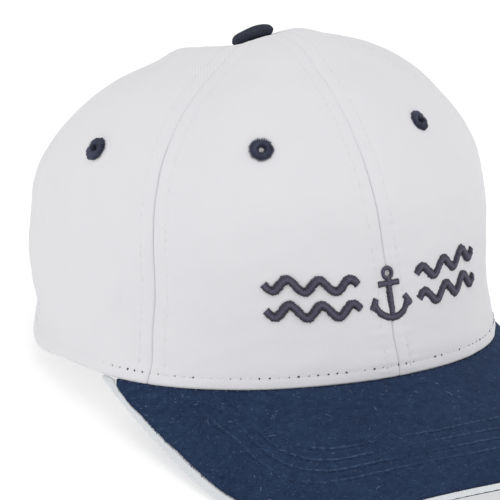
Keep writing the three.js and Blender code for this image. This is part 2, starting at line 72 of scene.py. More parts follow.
# Where the panels end under the button, the front seam's length, and how much longer the crown is round than
# its half width says
CROWN_TOP = 0.9935
CROWN_LENGTH = 172.0
CROWN_ROUNDNESS = 1.05

# Dents of the soft cloth, or bulges where the depth is negative: each fades out over its two widths
DENT_COLUMNS = ["angle", "t", "angleWidth", "tWidth", "depth"]
DENT_ROWS = [
    [-109, 0.875, 16, 0.045, 2.4],
    [-112, 0.935, 16, 0.03, -0.6],
    [-111.6, 0.056, 35, 0.04, 2.1],
    [-124.7, 0.0, 9.2, 0.029, 1.55],
    [-112, 0.2, 26, 0.09, -2.06],
    [50, 0.17, 20, 0.1, 0.8],
    [77.6, 0.96, 56, 0.022, -2.57],
    [-130, 0.92, 18, 0.023, -1.8],
    [85.4, 0.983, 37.7, 0.019, -0.75],
    [-72, 0.984, 36, 0.019, 1.0],
]

# Soft upright folds that stand out from the cloth: a straight line in angle and t between two ends
FOLD_COLUMNS = ["angleLow", "tLow", "angleHigh", "tHigh", "width", "rise"]
FOLD_ROWS = [
    [-75.4, 0.19, -73.6, 0.3, 1.7, 0.45],
    [-79.5, 0.12, -78.0, 0.22, 2.2, 0.25],
    [-68.5, 0.1, -69.5, 0.2, 1.8, 0.2],
]

# Where the soft rim hangs lower or higher than the sections say: it fades out over the width
SAG_COLUMNS = ["angle", "angleWidth", "drop"]
SAG_ROWS = [
    [-107.2, 15.9, 1.54],
    [-86, 9, -1.68],
]

# Where the seams leave their straight course, in degrees: fades out over the height's width
SWAY_COLUMNS = ["seam", "t", "tWidth", "aside"]
SWAY_ROWS = [
    [-62, 0.15, 0.07, -1.0],
    [-62, 0.3, 0.35, -0.8],
    [0, 0.16, 0.08, -0.6],
    [0, 0.31, 0.08, 0.4],
    [62, 0.2, 0.15, 0.8],
    [-120, 0.25, 0.15, -0.6],
    [120, 0.3, 0.15, 0.6],
]

# Seams and panels
SIDE_SEAM = 62
REAR_SEAM = 120
SEAMS = [0, SIDE_SEAM, -SIDE_SEAM, REAR_SEAM, -REAR_SEAM, 180]
SEAM_HOLLOW = 0.7
SEAM_HOLLOW_WIDTH = 6
PANELS = [
    {"node": "front_panel_right", "start": -SIDE_SEAM, "stop": 0, "grain": 2},
    {"node": "front_panel_left", "start": 0, "stop": SIDE_SEAM, "grain": -3},
    {"node": "side_panel_right", "start": -REAR_SEAM, "stop": -SIDE_SEAM, "grain": -27},
    {"node": "side_panel_left", "start": SIDE_SEAM, "stop": REAR_SEAM, "grain": 8},
    {"node": "back_panel_right", "start": -REAR_SEAM, "stop": -180, "grain": 3},
    {"node": "back_panel_left", "start": REAR_SEAM, "stop": 180, "grain": -5},
]
SEAM_JOIN = 0.03
CREASE_DEPTH = 0.5
CREASE_WIDTH = 0.35
SEAM_RIDGE = 0.14
SEAM_RIDGE_WIDTH = 1.5

# The panels' grids: close columns over a zone beside each seam and wide ones between, and rows up the cloth
PANEL_CLOSE = 17
PANEL_WIDE = 50
PANEL_ZONE = 8.0
PANEL_ZONE_SHARE = 0.3
HEM_TOP = 0.062
HEM_LEVELS = 19
BODY_LEVELS = 156
BACK_CLOSE = 16
BACK_WIDE = 52
BACK_ZONE_SHARE = 0.1
BACK_LEVELS = 186

# Stitched rows of the crown
TOPSTITCH_OFFSET = 5.3
TOPSTITCH_DEPTH = 0.06
TOPSTITCH_WIDTH = 0.6
TOPSTITCH_PITCH = 3.1
TOPSTITCH_GAP = 0.5
TOPSTITCH_LIFT = 0.02
PUCKER_LENGTH = 6.3
PUCKER_DEPTH = 0.05
PUCKER_WIDTH = 3.6
HEM_ROW = 4.3
HEM_DEPTH = 0.13
HEM_WIDTH = 0.55
HEM_PITCH = 3.6
HEM_GAP = 0.7
HEM_BULGE = 0.1
HEM_BULGE_ROW = 2.2
HEM_BULGE_WIDTH = 1.2
HEM_ROLL = 0.8
NEEDLE_POINTS_END = 75.4
NEEDLE_POINTS_FADE = 4
NEEDLE_SIZES = [0.1, 0.2, 0.3, 0.36]
NEEDLE_SHARES = [0.3, 0.3, 0.25, 0.15]
THREAD_RADIUS = 0.12

# A thread: where its rings lie along it, their shares of its radius, and the points round a ring
STITCH_PLACES = np.array([0.0, 0.14, 0.5, 0.86, 1.0])
STITCH_SWELL = np.array([0.45, 0.9, 1.0, 0.9, 0.45])
STITCH_SIDES = 6

# Eyelets
EYELETS = [
    {"node": "eyelet_front_right", "angle": -31.7, "t": 0.7225, "size": 1.0},
    {"node": "eyelet_front_left", "angle": 28.8, "t": 0.7355, "size": 0.88},
    {"node": "eyelet_side_right", "angle": -89, "t": 0.655, "size": 1.0},
    {"node": "eyelet_side_left", "angle": 89, "t": 0.655, "size": 1.0},
    {"node": "eyelet_back_right", "angle": -149, "t": 0.69, "size": 1.0},
    {"node": "eyelet_back_left", "angle": 149, "t": 0.69, "size": 1.0},
]
EYELET_RADIUS = 4.5
EYELET_HOLE = 1.35
EYELET_STITCHES = 34
EYELET_SAMPLES = 8
EYELET_STRAND = 0.36
EYELET_CUT = 2.3

# An eyelet's profile from its outer edge over the top, down the neck and round the lip inside: the share of
# its radius, and the height above the cloth
EYELET_PROFILE = np.array([
    [0.97, 0.0], [0.97, 0.25], [0.91, 0.66], [0.82, 0.98], [0.72, 1.18], [0.61, 1.26], [0.5, 1.2],
    [0.42, 1.0], [0.33, 0.66], [0.25, 0.2], [0.26, -0.6], [0.31, -1.4], [0.41, -2.1], [0.6, -2.55],
    [0.8, -2.5], [0.82, -2.2], [0.6, -2.0], [0.52, -1.8], [0.5, -0.3], [0.55, -0.1],
])

# Button
BUTTON_RADIUS = 8.2
BUTTON_HEIGHT = 4.75
BUTTON_SEAT = 0.45
BUTTON_LEAN = (-0.098, 0.065, 0)
BUTTON_SHIFT = (0.3, -0.2, 0)
BUTTON_BRIM = 1.4
BUTTON_AROUND = 96

# Below the button's dome: its inner washer, its shank and its underside, as radius and height over its seat
BUTTON_UNDERSIDE = np.array([
    [0.2, -3.55], [4.6, -3.55], [4.9, -3.4], [4.9, -3.05], [1.6, -2.95], [1.6, 0], [5.6, 0], [6.9, 0.05],
    [7.45, 0.4],
])

# Peak: an arched sheet that droops forwards, sewn to the rim over its front arc
PEAK_ARCH_RADIUS = 154
PEAK_DROOP = 16
PEAK_CORNER = 76.5
PEAK_REACH = 161.5
PEAK_OUTLINE = [(87.4, -60), (85.3, -105), (73, -139.6)]
TRIM_WIDTH = 3.1

# How wide the white strip shows: u runs from 0 at the peak's middle to 1 at its corners
STRIP_COLUMNS = ["u", "width"]
STRIP_ROWS = [
    [0.64, 3.1],
    [0.70, 2.85],
    [0.76, 2.25],
    [0.83, 2.1],
    [0.88, 1.6],
    [0.91, 1.75],
    [0.945, 2.6],
]

# The strip, the two covers and the stitched rows of the peak
TRIM_THICK = 1.0
TRIM_LIFT = 0.7
TRIM_TUCK = 1.2
TOP_COVER_THICK = 0.8
PEAK_THICK = 4.2
TRIM_SEAT = 6
PEAK_END = 0.985
PEAK_ROWS = [20.3, 25.8, 31.0, 36.7]
PEAK_ROW_PARTING = 0.45
PEAK_ROW_DEPTH = 0.42
PEAK_ROW_WIDTH = 0.5
PEAK_PITCH = 3.9
JOIN_PITCH = 4.0
TOP_COVER_COLUMNS = 280
TOP_COVER_STEP = 1.08
UNDER_COVER_COLUMNS = 205
UNDER_COVER_STEP = 1.5
TRIM_COLUMNS = 570
NAP_COUNT = 850
LINT_COUNT = 280

# Sweatband, rear opening and strap: PER_T is the millimetres up the cloth for the whole of t, near the rim
BAND_LOW = 0.03
BAND_HIGH = 0.24
BAND_END = 145
BAND_PER_T = 130
BAND_ROW = 0.018
BAND_PITCH = 3.4
BAND_GAP = 0.6
ARCH_HALF_WIDTH = 36
ARCH_STRAIGHT = 16
ARCH_RISE = 28
ARCH_ROW = 4.2
ARCH_ROW_DEPTH = 0.22
ARCH_ROW_WIDTH = 0.6
STRAP_HIGH = 0.15
STRAP_HALF_ANGLE = 32
STRAP_PER_T = 125
STRAP_ROW = 2.4
STRAP_ROW_DEPTH = 0.12

# Embroidery: an anchor between waves, laid out flat as (along, up) from its middle
STITCH_WIDTH = 3.2
STITCH_HEIGHT = 1.05
MOTIF_T = 0.305
MOTIF_RADIUS = 83.8
MOTIF_PER_T = 104
MOTIF_HALF = 10
WAVE_START = 13
WAVE_LENGTH = 36
WAVE_COUNT = 3
WAVE_RISE = 2.2
WAVE_LIFT = 4.6
SATIN_PITCH = 0.72

# How far the diagonals of twill lean
TWILL_LEAN = np.radians(35)

# Standing: the cap is tipped back by this angle, lifted and shifted, and eased off the floor
REST_PITCH = np.radians(7.35)
REST_LIFT = 11.75
REST_SHIFT = 28.2
FLOOR_EASE = 0.25

# Camera, in the cap's frame: direction it looks from, roll, distance, and what it is centred on
CAMERA_AZIMUTH = np.radians(-33.45)
CAMERA_ELEVATION = np.radians(17.21)
CAMERA_ROLL = np.radians(1.3)
CAMERA_DISTANCE = 2200
CAMERA_ASIDE = -5.85
CAMERA_UP = 30.16
FRAME_WIDTH = 190.84
SENSOR = 36

# Stage, in metres and watts
FLOOR_HALF = 6.0
FLOOR_GLOW = 0.62
WORLD_STRENGTH = 0.74
LIGHT_AIM = (0, 0, 0.05)
LIGHTS = [
    {"name": "top_light", "place": (-0.2, -0.3, 1.8), "size": 1.4, "power": 6.5},
    {"name": "side_light_right", "place": (-1.6, -0.2, 0.8), "size": 1.0, "power": 5},
    {"name": "side_light_left", "place": (1.5, -0.8, 0.9), "size": 1.0, "power": 3.6},
    {"name": "front_light", "place": (0.7, -1.8, 0.35), "size": 0.8, "power": 1.6},
]


# Placing

def to_rest(points):
    """Millimetres in the cap's frame to metres on the floor: turned about X, shifted and lifted. Heights near
    or below the floor are eased up to it: half the sum of the height and the root of its square plus a small
    square."""
    x, y, z = np.moveaxis(np.asarray(points, float), -1, 0)
    cos, sin = np.cos(REST_PITCH), np.sin(REST_PITCH)
    back = y * cos + z * sin + REST_SHIFT
    high = -y * sin + z * cos + REST_LIFT
    eased = 0.5 * (high + np.sqrt(high ** 2 + FLOOR_EASE ** 2))
    return np.stack([x, back, eased], -1) / 1000


# Tables, lines and levels

def named(columns, rows):
    """A table's rows, each with the names of its columns."""
    return [dict(zip(columns, row)) for row in rows]


def unit(vectors):
    """The same directions at length 1."""
    return vectors / np.linalg.norm(vectors, axis=-1, keepdims=True)


def length_along(points):
    """The length along a line of points, from 0 at its first."""
    return np.concatenate([[0], np.cumsum(np.linalg.norm(np.diff(points, axis=0), axis=1))])


def between(places, run, values):
    """The columns of values, which are given along run, read at places by straight interpolation."""
    return np.stack([np.interp(places, run, column) for column in values.T], -1)


def halved(is_short, high, steps):
    """For each place, the value between 0 and high up to which is_short holds, found by halving."""
    low = np.zeros_like(high)
    for _ in range(steps):
        middle = (low + high) / 2
        short = is_short(middle)
        low, high = np.where(short, middle, low), np.where(short, high, middle)
    return middle


def zoned(zone, width, close, wide):
    """Places from 0 to width: close steps over a zone at each end, and wide steps between the zones."""
    k = np.arange(2 * close + wide + 1)
    first = zone * k / close
    middle = zone + (width - 2 * zone) * (k - close) / wide
    last = width - zone * (k[-1] - k) / close
    return np.where(k < close, first, np.where(k > close + wide, last, middle))


def smoothstep(x, low, high):
    """From 0 at low to 1 at high: three times the square less twice the cube of the share between them."""
    w = np.clip((x - low) / (high - low), 0, 1)
    return w * w * (3 - 2 * w)


def bump(x, width):
    """A bell of height 1 that falls as the square of x over width."""
    return np.exp(-(x / width) ** 2)


def ripple(points, seed, length):
    """A smooth random height near -1 to 1: the sum of plane waves through the points, each with a random
    direction and phase and a wavelength near length."""
    random = np.random.default_rng(seed)
    total = 0
    for _ in range(RIPPLE_WAVES):
        direction = unit(random.normal(size=3)) * 2 * np.pi / (length * random.uniform(0.7, 1.5))
        total = total + np.sin(points @ direction + random.uniform(0, 2 * np.pi))
    return total / np.sqrt(RIPPLE_WAVES)


# Crown

def table_slopes(rows):
    """Each column's slope at each row: the weighted mean of the slopes on both sides of the row."""
    step = np.diff(rows[:, 0])[:, None]
    rise = np.diff(rows, axis=0) / step
    slopes = np.zeros_like(rows)
    slopes[1:-1] = (rise[:-1] * step[1:] + rise[1:] * step[:-1]) / (step[:-1] + step[1:])
    slopes[0] = 1.5 * rise[0] - 0.5 * slopes[1]
    slopes[-1] = 1.5 * rise[-1] - 0.5 * slopes[-2]
    return slopes


CROWN_SLOPES = table_slopes(CROWN_ROWS)


def crown_section(t):
    """The crown's section at height t, by cubic curves through the table's rows."""
    t = np.asarray(t, float)
    k = np.clip(np.searchsorted(CROWN_ROWS[:, 0], t, side="right") - 1, 0, len(CROWN_ROWS) - 2)
    low, high = CROWN_ROWS[k], CROWN_ROWS[k + 1]
    span = (high[..., 0] - low[..., 0])[..., None]
    w = (t - low[..., 0])[..., None] / span
    values = (
        (2 * w ** 3 - 3 * w ** 2 + 1) * low
        + (w ** 3 - 2 * w ** 2 + w) * span * CROWN_SLOPES[k]
        + (3 * w ** 2 - 2 * w ** 3) * high
        + (w ** 3 - w ** 2) * span * CROWN_SLOPES[k + 1]
    )
    return dict(zip(CROWN_COLUMNS, np.moveaxis(values, -1, 0)))


def smooth_crown(angle, t):
    """The crown before its seams and dents: two half ellipses in plan, whose height runs from front to sides
    to back by a power of the cosine, 2 below and 1 round the button."""
    angle, t = np.broadcast_arrays(np.asarray(angle, float), np.asarray(t, float))
    section = crown_section(t)
    s, c = np.sin(np.radians(angle)), np.cos(np.radians(angle))
    ahead = c > 0
    reach = np.where(ahead, section["widestY"] - section["frontY"], section["backY"] - section["widestY"])
    end = np.where(ahead, section["frontZ"], section["backZ"])
    share = np.abs(c) ** (2 - smoothstep(t, 0.9, 0.98))
    x = section["halfWidth"] * s
    y = section["widestY"] - reach * c
    z = section["sideZ"] + (end - section["sideZ"]) * share
    return np.stack([x, y, z], -1)


def crown_normal(angle, t):
    """The smooth crown's outward direction: the cross product of a short step round it and one up it."""
    near = np.clip(t, 0.002, 0.998)
    around = smooth_crown(angle + 0.1, near) - smooth_crown(angle - 0.1, near)
    up = smooth_crown(angle, near + 0.001) - smooth_crown(angle, near - 0.001)
    return unit(np.cross(around, up))


def angle_between(a, b):
    """Degrees from b to a, the short way round."""
    return (a - b + 180) % 360 - 180


def per_degree(t):
    """Millimetres along the crown for each degree."""
    return np.radians(crown_section(t)["halfWidth"])


def seam_angle(seam, t):
    """Where a seam runs at height t: its own angle with its sways."""
    angle = seam + 0 * np.asarray(t, float)
    for sway in named(SWAY_COLUMNS, SWAY_ROWS):
        if sway["seam"] == seam:
            angle = angle + sway["aside"] * bump(t - sway["t"], sway["tWidth"])
    return angle


def seam_distance(angle, t, swayed=True):
    """Millimetres from the nearest seam, with its sways or on its straight course."""
    lines = [seam_angle(seam, t) if swayed else seam for seam in SEAMS]
    return np.min([np.abs(angle_between(angle, line)) for line in lines], axis=0) * per_degree(t)


def main_depth(angle, t):
    """How far the surface lies inside the smooth crown: the seams' hollows and the dents."""
    half_width = crown_section(t)["halfWidth"]
    apart = seam_distance(angle, t, swayed=False)
    hollow = SEAM_HOLLOW * smoothstep(t, 0.1, 0.4) * smoothstep(half_width, 10, 35)
    depth = hollow * bump(apart, SEAM_HOLLOW_WIDTH)
    for dent in named(DENT_COLUMNS, DENT_ROWS):
        beside = bump(angle_between(angle, dent["angle"]), dent["angleWidth"])
        depth = depth + dent["depth"] * beside * bump(t - dent["t"], dent["tWidth"])
    return depth


def topstitch_offset(t):
    """How far the stitched rows run from a seam: they close up where the panels narrow to the button."""
    return np.minimum(TOPSTITCH_OFFSET, 0.26 * crown_section(t)["halfWidth"] + 0.6)


def arch_distance(point):
    """How far a point lies outside the rear opening, seen from the back: beyond its straight sides below,
    and beyond its half ellipse above, where a share of the mean radius stands for the distance."""
    x, y, z = np.moveaxis(point, -1, 0)
    beside = np.abs(x) - ARCH_HALF_WIDTH
    rise = np.maximum(z - ARCH_STRAIGHT, 0)
    q = np.sqrt((x / ARCH_HALF_WIDTH) ** 2 + (rise / ARCH_RISE) ** 2)
    reach = np.hypot(x, rise) / np.maximum(q, 0.01)
    beyond = np.where(z > ARCH_STRAIGHT, (q - 1) * reach, beside)
    return np.where(y > 0, beyond, 100.0)


def fold_rise(angle, t):
    """How far the soft folds stand out: a bell across each fold's line, fading past its two ends."""
    rise = 0
    for fold in named(FOLD_COLUMNS, FOLD_ROWS):
        share = (t - fold["tLow"]) / (fold["tHigh"] - fold["tLow"])
        line = fold["angleLow"] + (fold["angleHigh"] - fold["angleLow"]) * share
        aside = angle_between(angle, line) * per_degree(t)
        ends = smoothstep(share, -0.3, 0.3) * (1 - smoothstep(share, 0.7, 1.3))
        rise = rise + fold["rise"] * bump(aside, fold["width"]) * ends
    return rise


def seam_relief(angle, t):
    """What the seams' sewing adds to the depth: a crease at each seam, a ridge beside it, and a stitched row
    with its puckers. All fade towards the button, the crease and the row sooner."""
    apart = seam_distance(angle, t)
    up = t * CROWN_LENGTH
    row = topstitch_offset(t)
    fade = smoothstep(crown_section(t)["halfWidth"], 5, 14)
    drawn = fade * (1 - 0.6 * smoothstep(t, 0.6, 0.9))
    crease = CREASE_DEPTH * bump(apart, CREASE_WIDTH) * drawn
    ridge = SEAM_RIDGE * bump(apart - 0.5 * row, SEAM_RIDGE_WIDTH) * fade
    beat = 0.72 + 0.28 * np.cos(2 * np.pi * up / TOPSTITCH_PITCH)
    groove = TOPSTITCH_DEPTH * bump(apart - row, TOPSTITCH_WIDTH) * beat * drawn
    sway = np.sin(2 * np.pi * up / PUCKER_LENGTH + 2.2 * np.sin(up / 13) + 0.05 * angle)
    puckers = PUCKER_DEPTH * bump(apart - row, PUCKER_WIDTH) * sway * fade
    return crease - ridge + groove + puckers


def hem_relief(angle, above):
    """What the hem adds to the depth, from the height above the rim: its row's groove, which is deep where
    the peak is sewn on, the puffed cloth below it, and the rolled rim."""
    run = np.radians(angle) * MOTIF_RADIUS
    beat = 0.65 + 0.35 * np.cos(2 * np.pi * run / HEM_PITCH)
    past = smoothstep(np.abs(angle), NEEDLE_POINTS_END, NEEDLE_POINTS_END + NEEDLE_POINTS_FADE)
    joined = 1 - 0.9 * past
    groove = HEM_DEPTH * bump(above - HEM_ROW, HEM_WIDTH) * beat
    bulge = HEM_BULGE * bump(above - HEM_BULGE_ROW, HEM_BULGE_WIDTH)
    return (groove - bulge) * joined + rolled(above, HEM_ROLL)


def sewn_depth(angle, t):
    """The main depth with what sewing adds at the seams, at the hem and round the rear opening, the soft
    folds, and faint waves."""
    angle, t = np.broadcast_arrays(np.asarray(angle, float), np.asarray(t, float))
    place = smooth_crown(angle, t)
    above = np.linalg.norm(place - smooth_crown(angle, 0 * t), axis=-1)
    from_arch = arch_distance(place)
    depth = main_depth(angle, t) + seam_relief(angle, t) + hem_relief(angle, above) - fold_rise(angle, t)
    depth = depth + rolled(from_arch, HEM_ROLL) + ARCH_ROW_DEPTH * bump(from_arch - ARCH_ROW, ARCH_ROW_WIDTH)
    return depth + 0.22 * ripple(place, 3, 34) + 0.07 * ripple(place, 5, 11)


def rolled(distance, radius):
    """How far a rolled edge falls away: nearly a quarter circle of the radius, ending at distance 0."""
    inside = np.clip(1 - distance / radius, 0, 1)
    return radius * (1 - np.sqrt(1 - 0.96 * inside ** 2))


def rim_sag(angle, t):
    """How far the soft rim hangs down, as a downward vector: fades out by t = 0.1."""
    drop = 0
    for sag in named(SAG_COLUMNS, SAG_ROWS):
        drop = drop + sag["drop"] * bump(angle_between(angle, sag["angle"]), sag["angleWidth"])
    drop = drop * (1 - smoothstep(t, 0, 0.1))
    return drop[..., None] * np.array([0, 0, 1])


def sewn_crown(angle, t):
    """A point of the sewn outer surface."""
    inwards = crown_normal(angle, t) * sewn_depth(angle, t)[..., None]
    return smooth_crown(angle, t) - inwards - rim_sag(angle, t)


def crown_inside(angle, t, depth):
    """A point depth millimetres inside the crown's main surface."""
    return smooth_crown(angle, t) - crown_normal(angle, t) * (main_depth(angle, t) + depth)[..., None]


# Meshes

def new_piece(name, points, faces, uv, material, nodes=(), sharp=50, tone=None):
    """Puts points, in the cap's frame, and arrays of faces with the same number of corners into one mesh.
    Tone is a number at each point: above 0 where painted shade darkens the cloth, below 0 where a painted
    highlight lightens it."""
    mesh = bpy.data.meshes.new(name)
    places = to_rest(points).reshape(-1, 3)
    corners = np.concatenate([f.ravel() for f in faces])
    sizes = np.concatenate([np.full(len(f), f.shape[1]) for f in faces])
    mesh.vertices.add(len(places))
    mesh.vertices.foreach_set("co", places.ravel())
    mesh.loops.add(len(corners))
    mesh.loops.foreach_set("vertex_index", corners.astype(np.int32))
    mesh.polygons.add(len(sizes))
    mesh.polygons.foreach_set("loop_start", (np.cumsum(sizes) - sizes).astype(np.int32))
    mesh.polygons.foreach_set("use_smooth", np.ones(len(sizes), bool))
    mesh.update(calc_edges=True)
    layer = mesh.uv_layers.new(name="cloth")
    layer.data.foreach_set("uv", (uv.reshape(-1, 2)[corners] / 1000).ravel())
    if tone is not None:
        shade = mesh.attributes.new("tone", "FLOAT", "POINT")
        shade.data.foreach_set("value", tone.ravel())
    mesh.set_sharp_from_angle(angle=np.radians(sharp))
    mesh.materials.append(material)
    piece = bpy.data.objects.new(name, mesh)
    bpy.context.scene.collection.objects.link(piece)
    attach(piece, "root")
    if nodes:
        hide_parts(*nodes)
    return piece


def turned_out(points, faces):
    """The faces, reversed if they enclose a negative volume."""
    flat = points.reshape(-1, 3)
    volume = 0
    for group in faces:
        for k in range(1, group.shape[1] - 1):
            a, b, c = flat[group[:, 0]], flat[group[:, k]], flat[group[:, k + 1]]
            volume += np.einsum("ij,ij->", a, np.cross(b, c))
    return [group[:, ::-1] for group in faces] if volume < 0 else faces


def shell(outer, inner, keep=None):
    """A closed sheet from two grids of the same size: cells of the outer grid, the same cells of the inner
    grid turned round, and a wall along every edge that has a kept cell on one side only."""
    rows, columns = outer.shape[:2]
    index = np.arange(rows * columns).reshape(rows, columns)
    below = rows * columns
    kept = np.zeros((rows + 1, columns + 1), bool)
    kept[1:-1, 1:-1] = True if keep is None else keep
    a, b, c, d = index[:-1, :-1], index[:-1, 1:], index[1:, 1:], index[1:, :-1]
    cells = np.stack([a, b, c, d], -1)[kept[1:-1, 1:-1]]
    upright = (kept[1:-1, :-1], kept[1:-1, 1:], index[1:], index[:-1])
    level = (kept[:-1, 1:-1], kept[1:, 1:-1], index[:, :-1], index[:, 1:])
    walls = []
    for first, second, near, far in (upright, level):
        edge = first ^ second
        start = np.where(first, near, far)[edge]
        stop = np.where(first, far, near)[edge]
        walls.append(np.stack([start, stop, stop + below, start + below], -1))
    faces = np.concatenate([cells, cells[:, ::-1] + below, *walls])
    used, packed = np.unique(faces, return_inverse=True)
    points = np.concatenate([outer.reshape(-1, 3), inner.reshape(-1, 3)])[used]
    return points, turned_out(points, [packed.reshape(faces.shape)]), used


def shell_piece(name, outer, inner, uv, material, nodes=(), keep=None, sharp=50, tone=None):
    """A closed sheet as a piece. Both its faces take the outer grid's UV and tone."""
    points, faces, used = shell(outer, inner, keep)
    places = np.tile(uv.reshape(-1, 2), (2, 1))[used]
    if tone is not None:
        tone = np.tile(tone.ravel(), 2)[used]
    return new_piece(name, points, faces, places, material, nodes, sharp, tone)


def loop_piece(name, loops, uv, material, nodes=(), ends=True, sharp=50):
    """A closed tube through loops of points: each loop runs round the piece and the loops follow its length.
    Each end is closed by a fan from the middle of its loop, unless the tube joins up with itself."""
    count, around = loops.shape[:2]
    index = np.arange(count * around).reshape(count, around)
    onward = np.roll(index, -1, axis=1)
    if ends:
        quads = np.stack([index[:-1], onward[:-1], onward[1:], index[1:]], -1).reshape(-1, 4)
        middles = np.stack([loops[0].mean(0), loops[-1].mean(0)])
        points = np.concatenate([loops.reshape(-1, 3), middles])
        uv = np.concatenate([uv.reshape(-1, 2), uv[0].mean(0)[None], uv[-1].mean(0)[None]])
        first, last = count * around, count * around + 1
        fans = np.concatenate([
            np.stack([np.full(around, first), onward[0], index[0]], -1),
            np.stack([np.full(around, last), index[-1], onward[-1]], -1),
        ])
        faces = [quads, fans]
    else:
        after = np.roll(index, -1, axis=0)
        quads = np.stack([index, onward, np.roll(after, -1, axis=1), after], -1).reshape(-1, 4)
        points, uv, faces = loops.reshape(-1, 3), uv.reshape(-1, 2), [quads]
    return new_piece(name, points, turned_out(points, faces), uv, material, nodes, sharp)


# Threads

def stitch_points(starts, stops, normals, radius, lift):
    """One small thread for each start and stop: rings along the line between them, arched away from the
    cloth by lift, thin at both ends."""
    along = (stops - starts)[:, None, :]
    line = starts[:, None, :] + along * STITCH_PLACES[None, :, None]
    arch = lift * (1 - (2 * STITCH_PLACES - 1) ** 2)
    line = line + normals[:, None, :] * arch[None, :, None]
    side = unit(np.cross(along, normals[:, None, :]))
    up = unit(np.cross(side, along))
    turn = np.linspace(0, 2 * np.pi, STITCH_SIDES, endpoint=False)
    ring = side[..., None, :] * np.cos(turn)[:, None] + up[..., None, :] * np.sin(turn)[:, None]
    size = np.broadcast_to(radius, len(starts))[:, None, None, None] * STITCH_SWELL[None, :, None, None]
    return line[:, :, None, :] + ring * size


def stitch_piece(name, groups, material):
    """Joins threads into one piece. Each is closed by flat hexagons at its ends."""
    rings = np.concatenate(groups)
    count, places, sides = rings.shape[:3]
    index = np.arange(places * sides).reshape(places, sides)
    onward = np.roll(index, -1, axis=1)
    quads = np.stack([index[:-1], onward[:-1], onward[1:], index[1:]], -1).reshape(-1, 4)
    ends = np.array([[3, 2, 1, 0], [5, 4, 3, 0]])
    one = np.concatenate([quads, ends, ends[:, ::-1] + (places - 1) * sides])
    if turned_out(rings[0], [one])[0] is not one:
        one = one[:, ::-1]
    faces = (one[None] + np.arange(count)[:, None, None] * places * sides).reshape(-1, 4)
    along = np.broadcast_to(np.arange(places)[None, :, None] * 1.0, rings.shape[:3])
    around = np.broadcast_to(np.arange(sides)[None, None, :] * 0.3, rings.shape[:3])
    uv = np.stack([along + 7 * np.arange(count)[:, None, None], around], -1)
    return new_piece(name, rings, [faces], uv, material, sharp=80)


def sewn_row(points, normals, pitch, gap, seed, lift=0.06, sink=0.08, uneven=0.05):
    """Threads along a line of points: each pitch holds one stitch and one gap, a little uneven."""
    run = length_along(points)
    random = np.random.default_rng(seed)
    count = int(run[-1] / pitch)
    start = (np.arange(count) + random.uniform(-0.05, 0.05, count)) * pitch
    stop = start + pitch - gap
    low, high = between(start, run, points), between(stop, run, points)
    low_normal, high_normal = between(start, run, normals), between(stop, run, normals)
    across = unit(np.cross(low_normal, high - low))
    jitter = random.normal(0, uneven, (2, count, 1))
    low = low + across * jitter[0] - low_normal * sink
    high = high + across * jitter[1] - high_normal * sink
    middle = between((start + stop) / 2, run, normals)
    return stitch_points(low, high, middle, THREAD_RADIUS, lift + sink)


# Materials

class Socket:
    """A value or colour in a material. Its operators add Math nodes."""

    def __init__(self, finish, socket):
        self.finish = finish
        self.socket = socket

    def math(self, operation, *values):
        """A Math node on values, each a number or another socket."""
        return self.finish.node("ShaderNodeMath", {"operation": operation}, dict(enumerate(values)))

    def __add__(self, other):
        return self.math("ADD", self, other)

    def __mul__(self, other):
        return self.math("MULTIPLY", self, other)

    def __sub__(self, other):
        return self.math("SUBTRACT", self, other)

    def __rsub__(self, other):
        return self.math("SUBTRACT", other, self)

    __radd__ = __add__
    __rmul__ = __mul__

    def sine(self):
        return self.math("SINE", self)

    def size(self):
        return self.math("ABSOLUTE", self)

    def stepped(self, low, high):
        """0 below low, 1 above high, and smooth between."""
        settings = {"interpolation_type": "SMOOTHSTEP"}
        values = {"Value": self, "From Min": low, "From Max": high}
        return self.finish.node("ShaderNodeMapRange", settings, values)


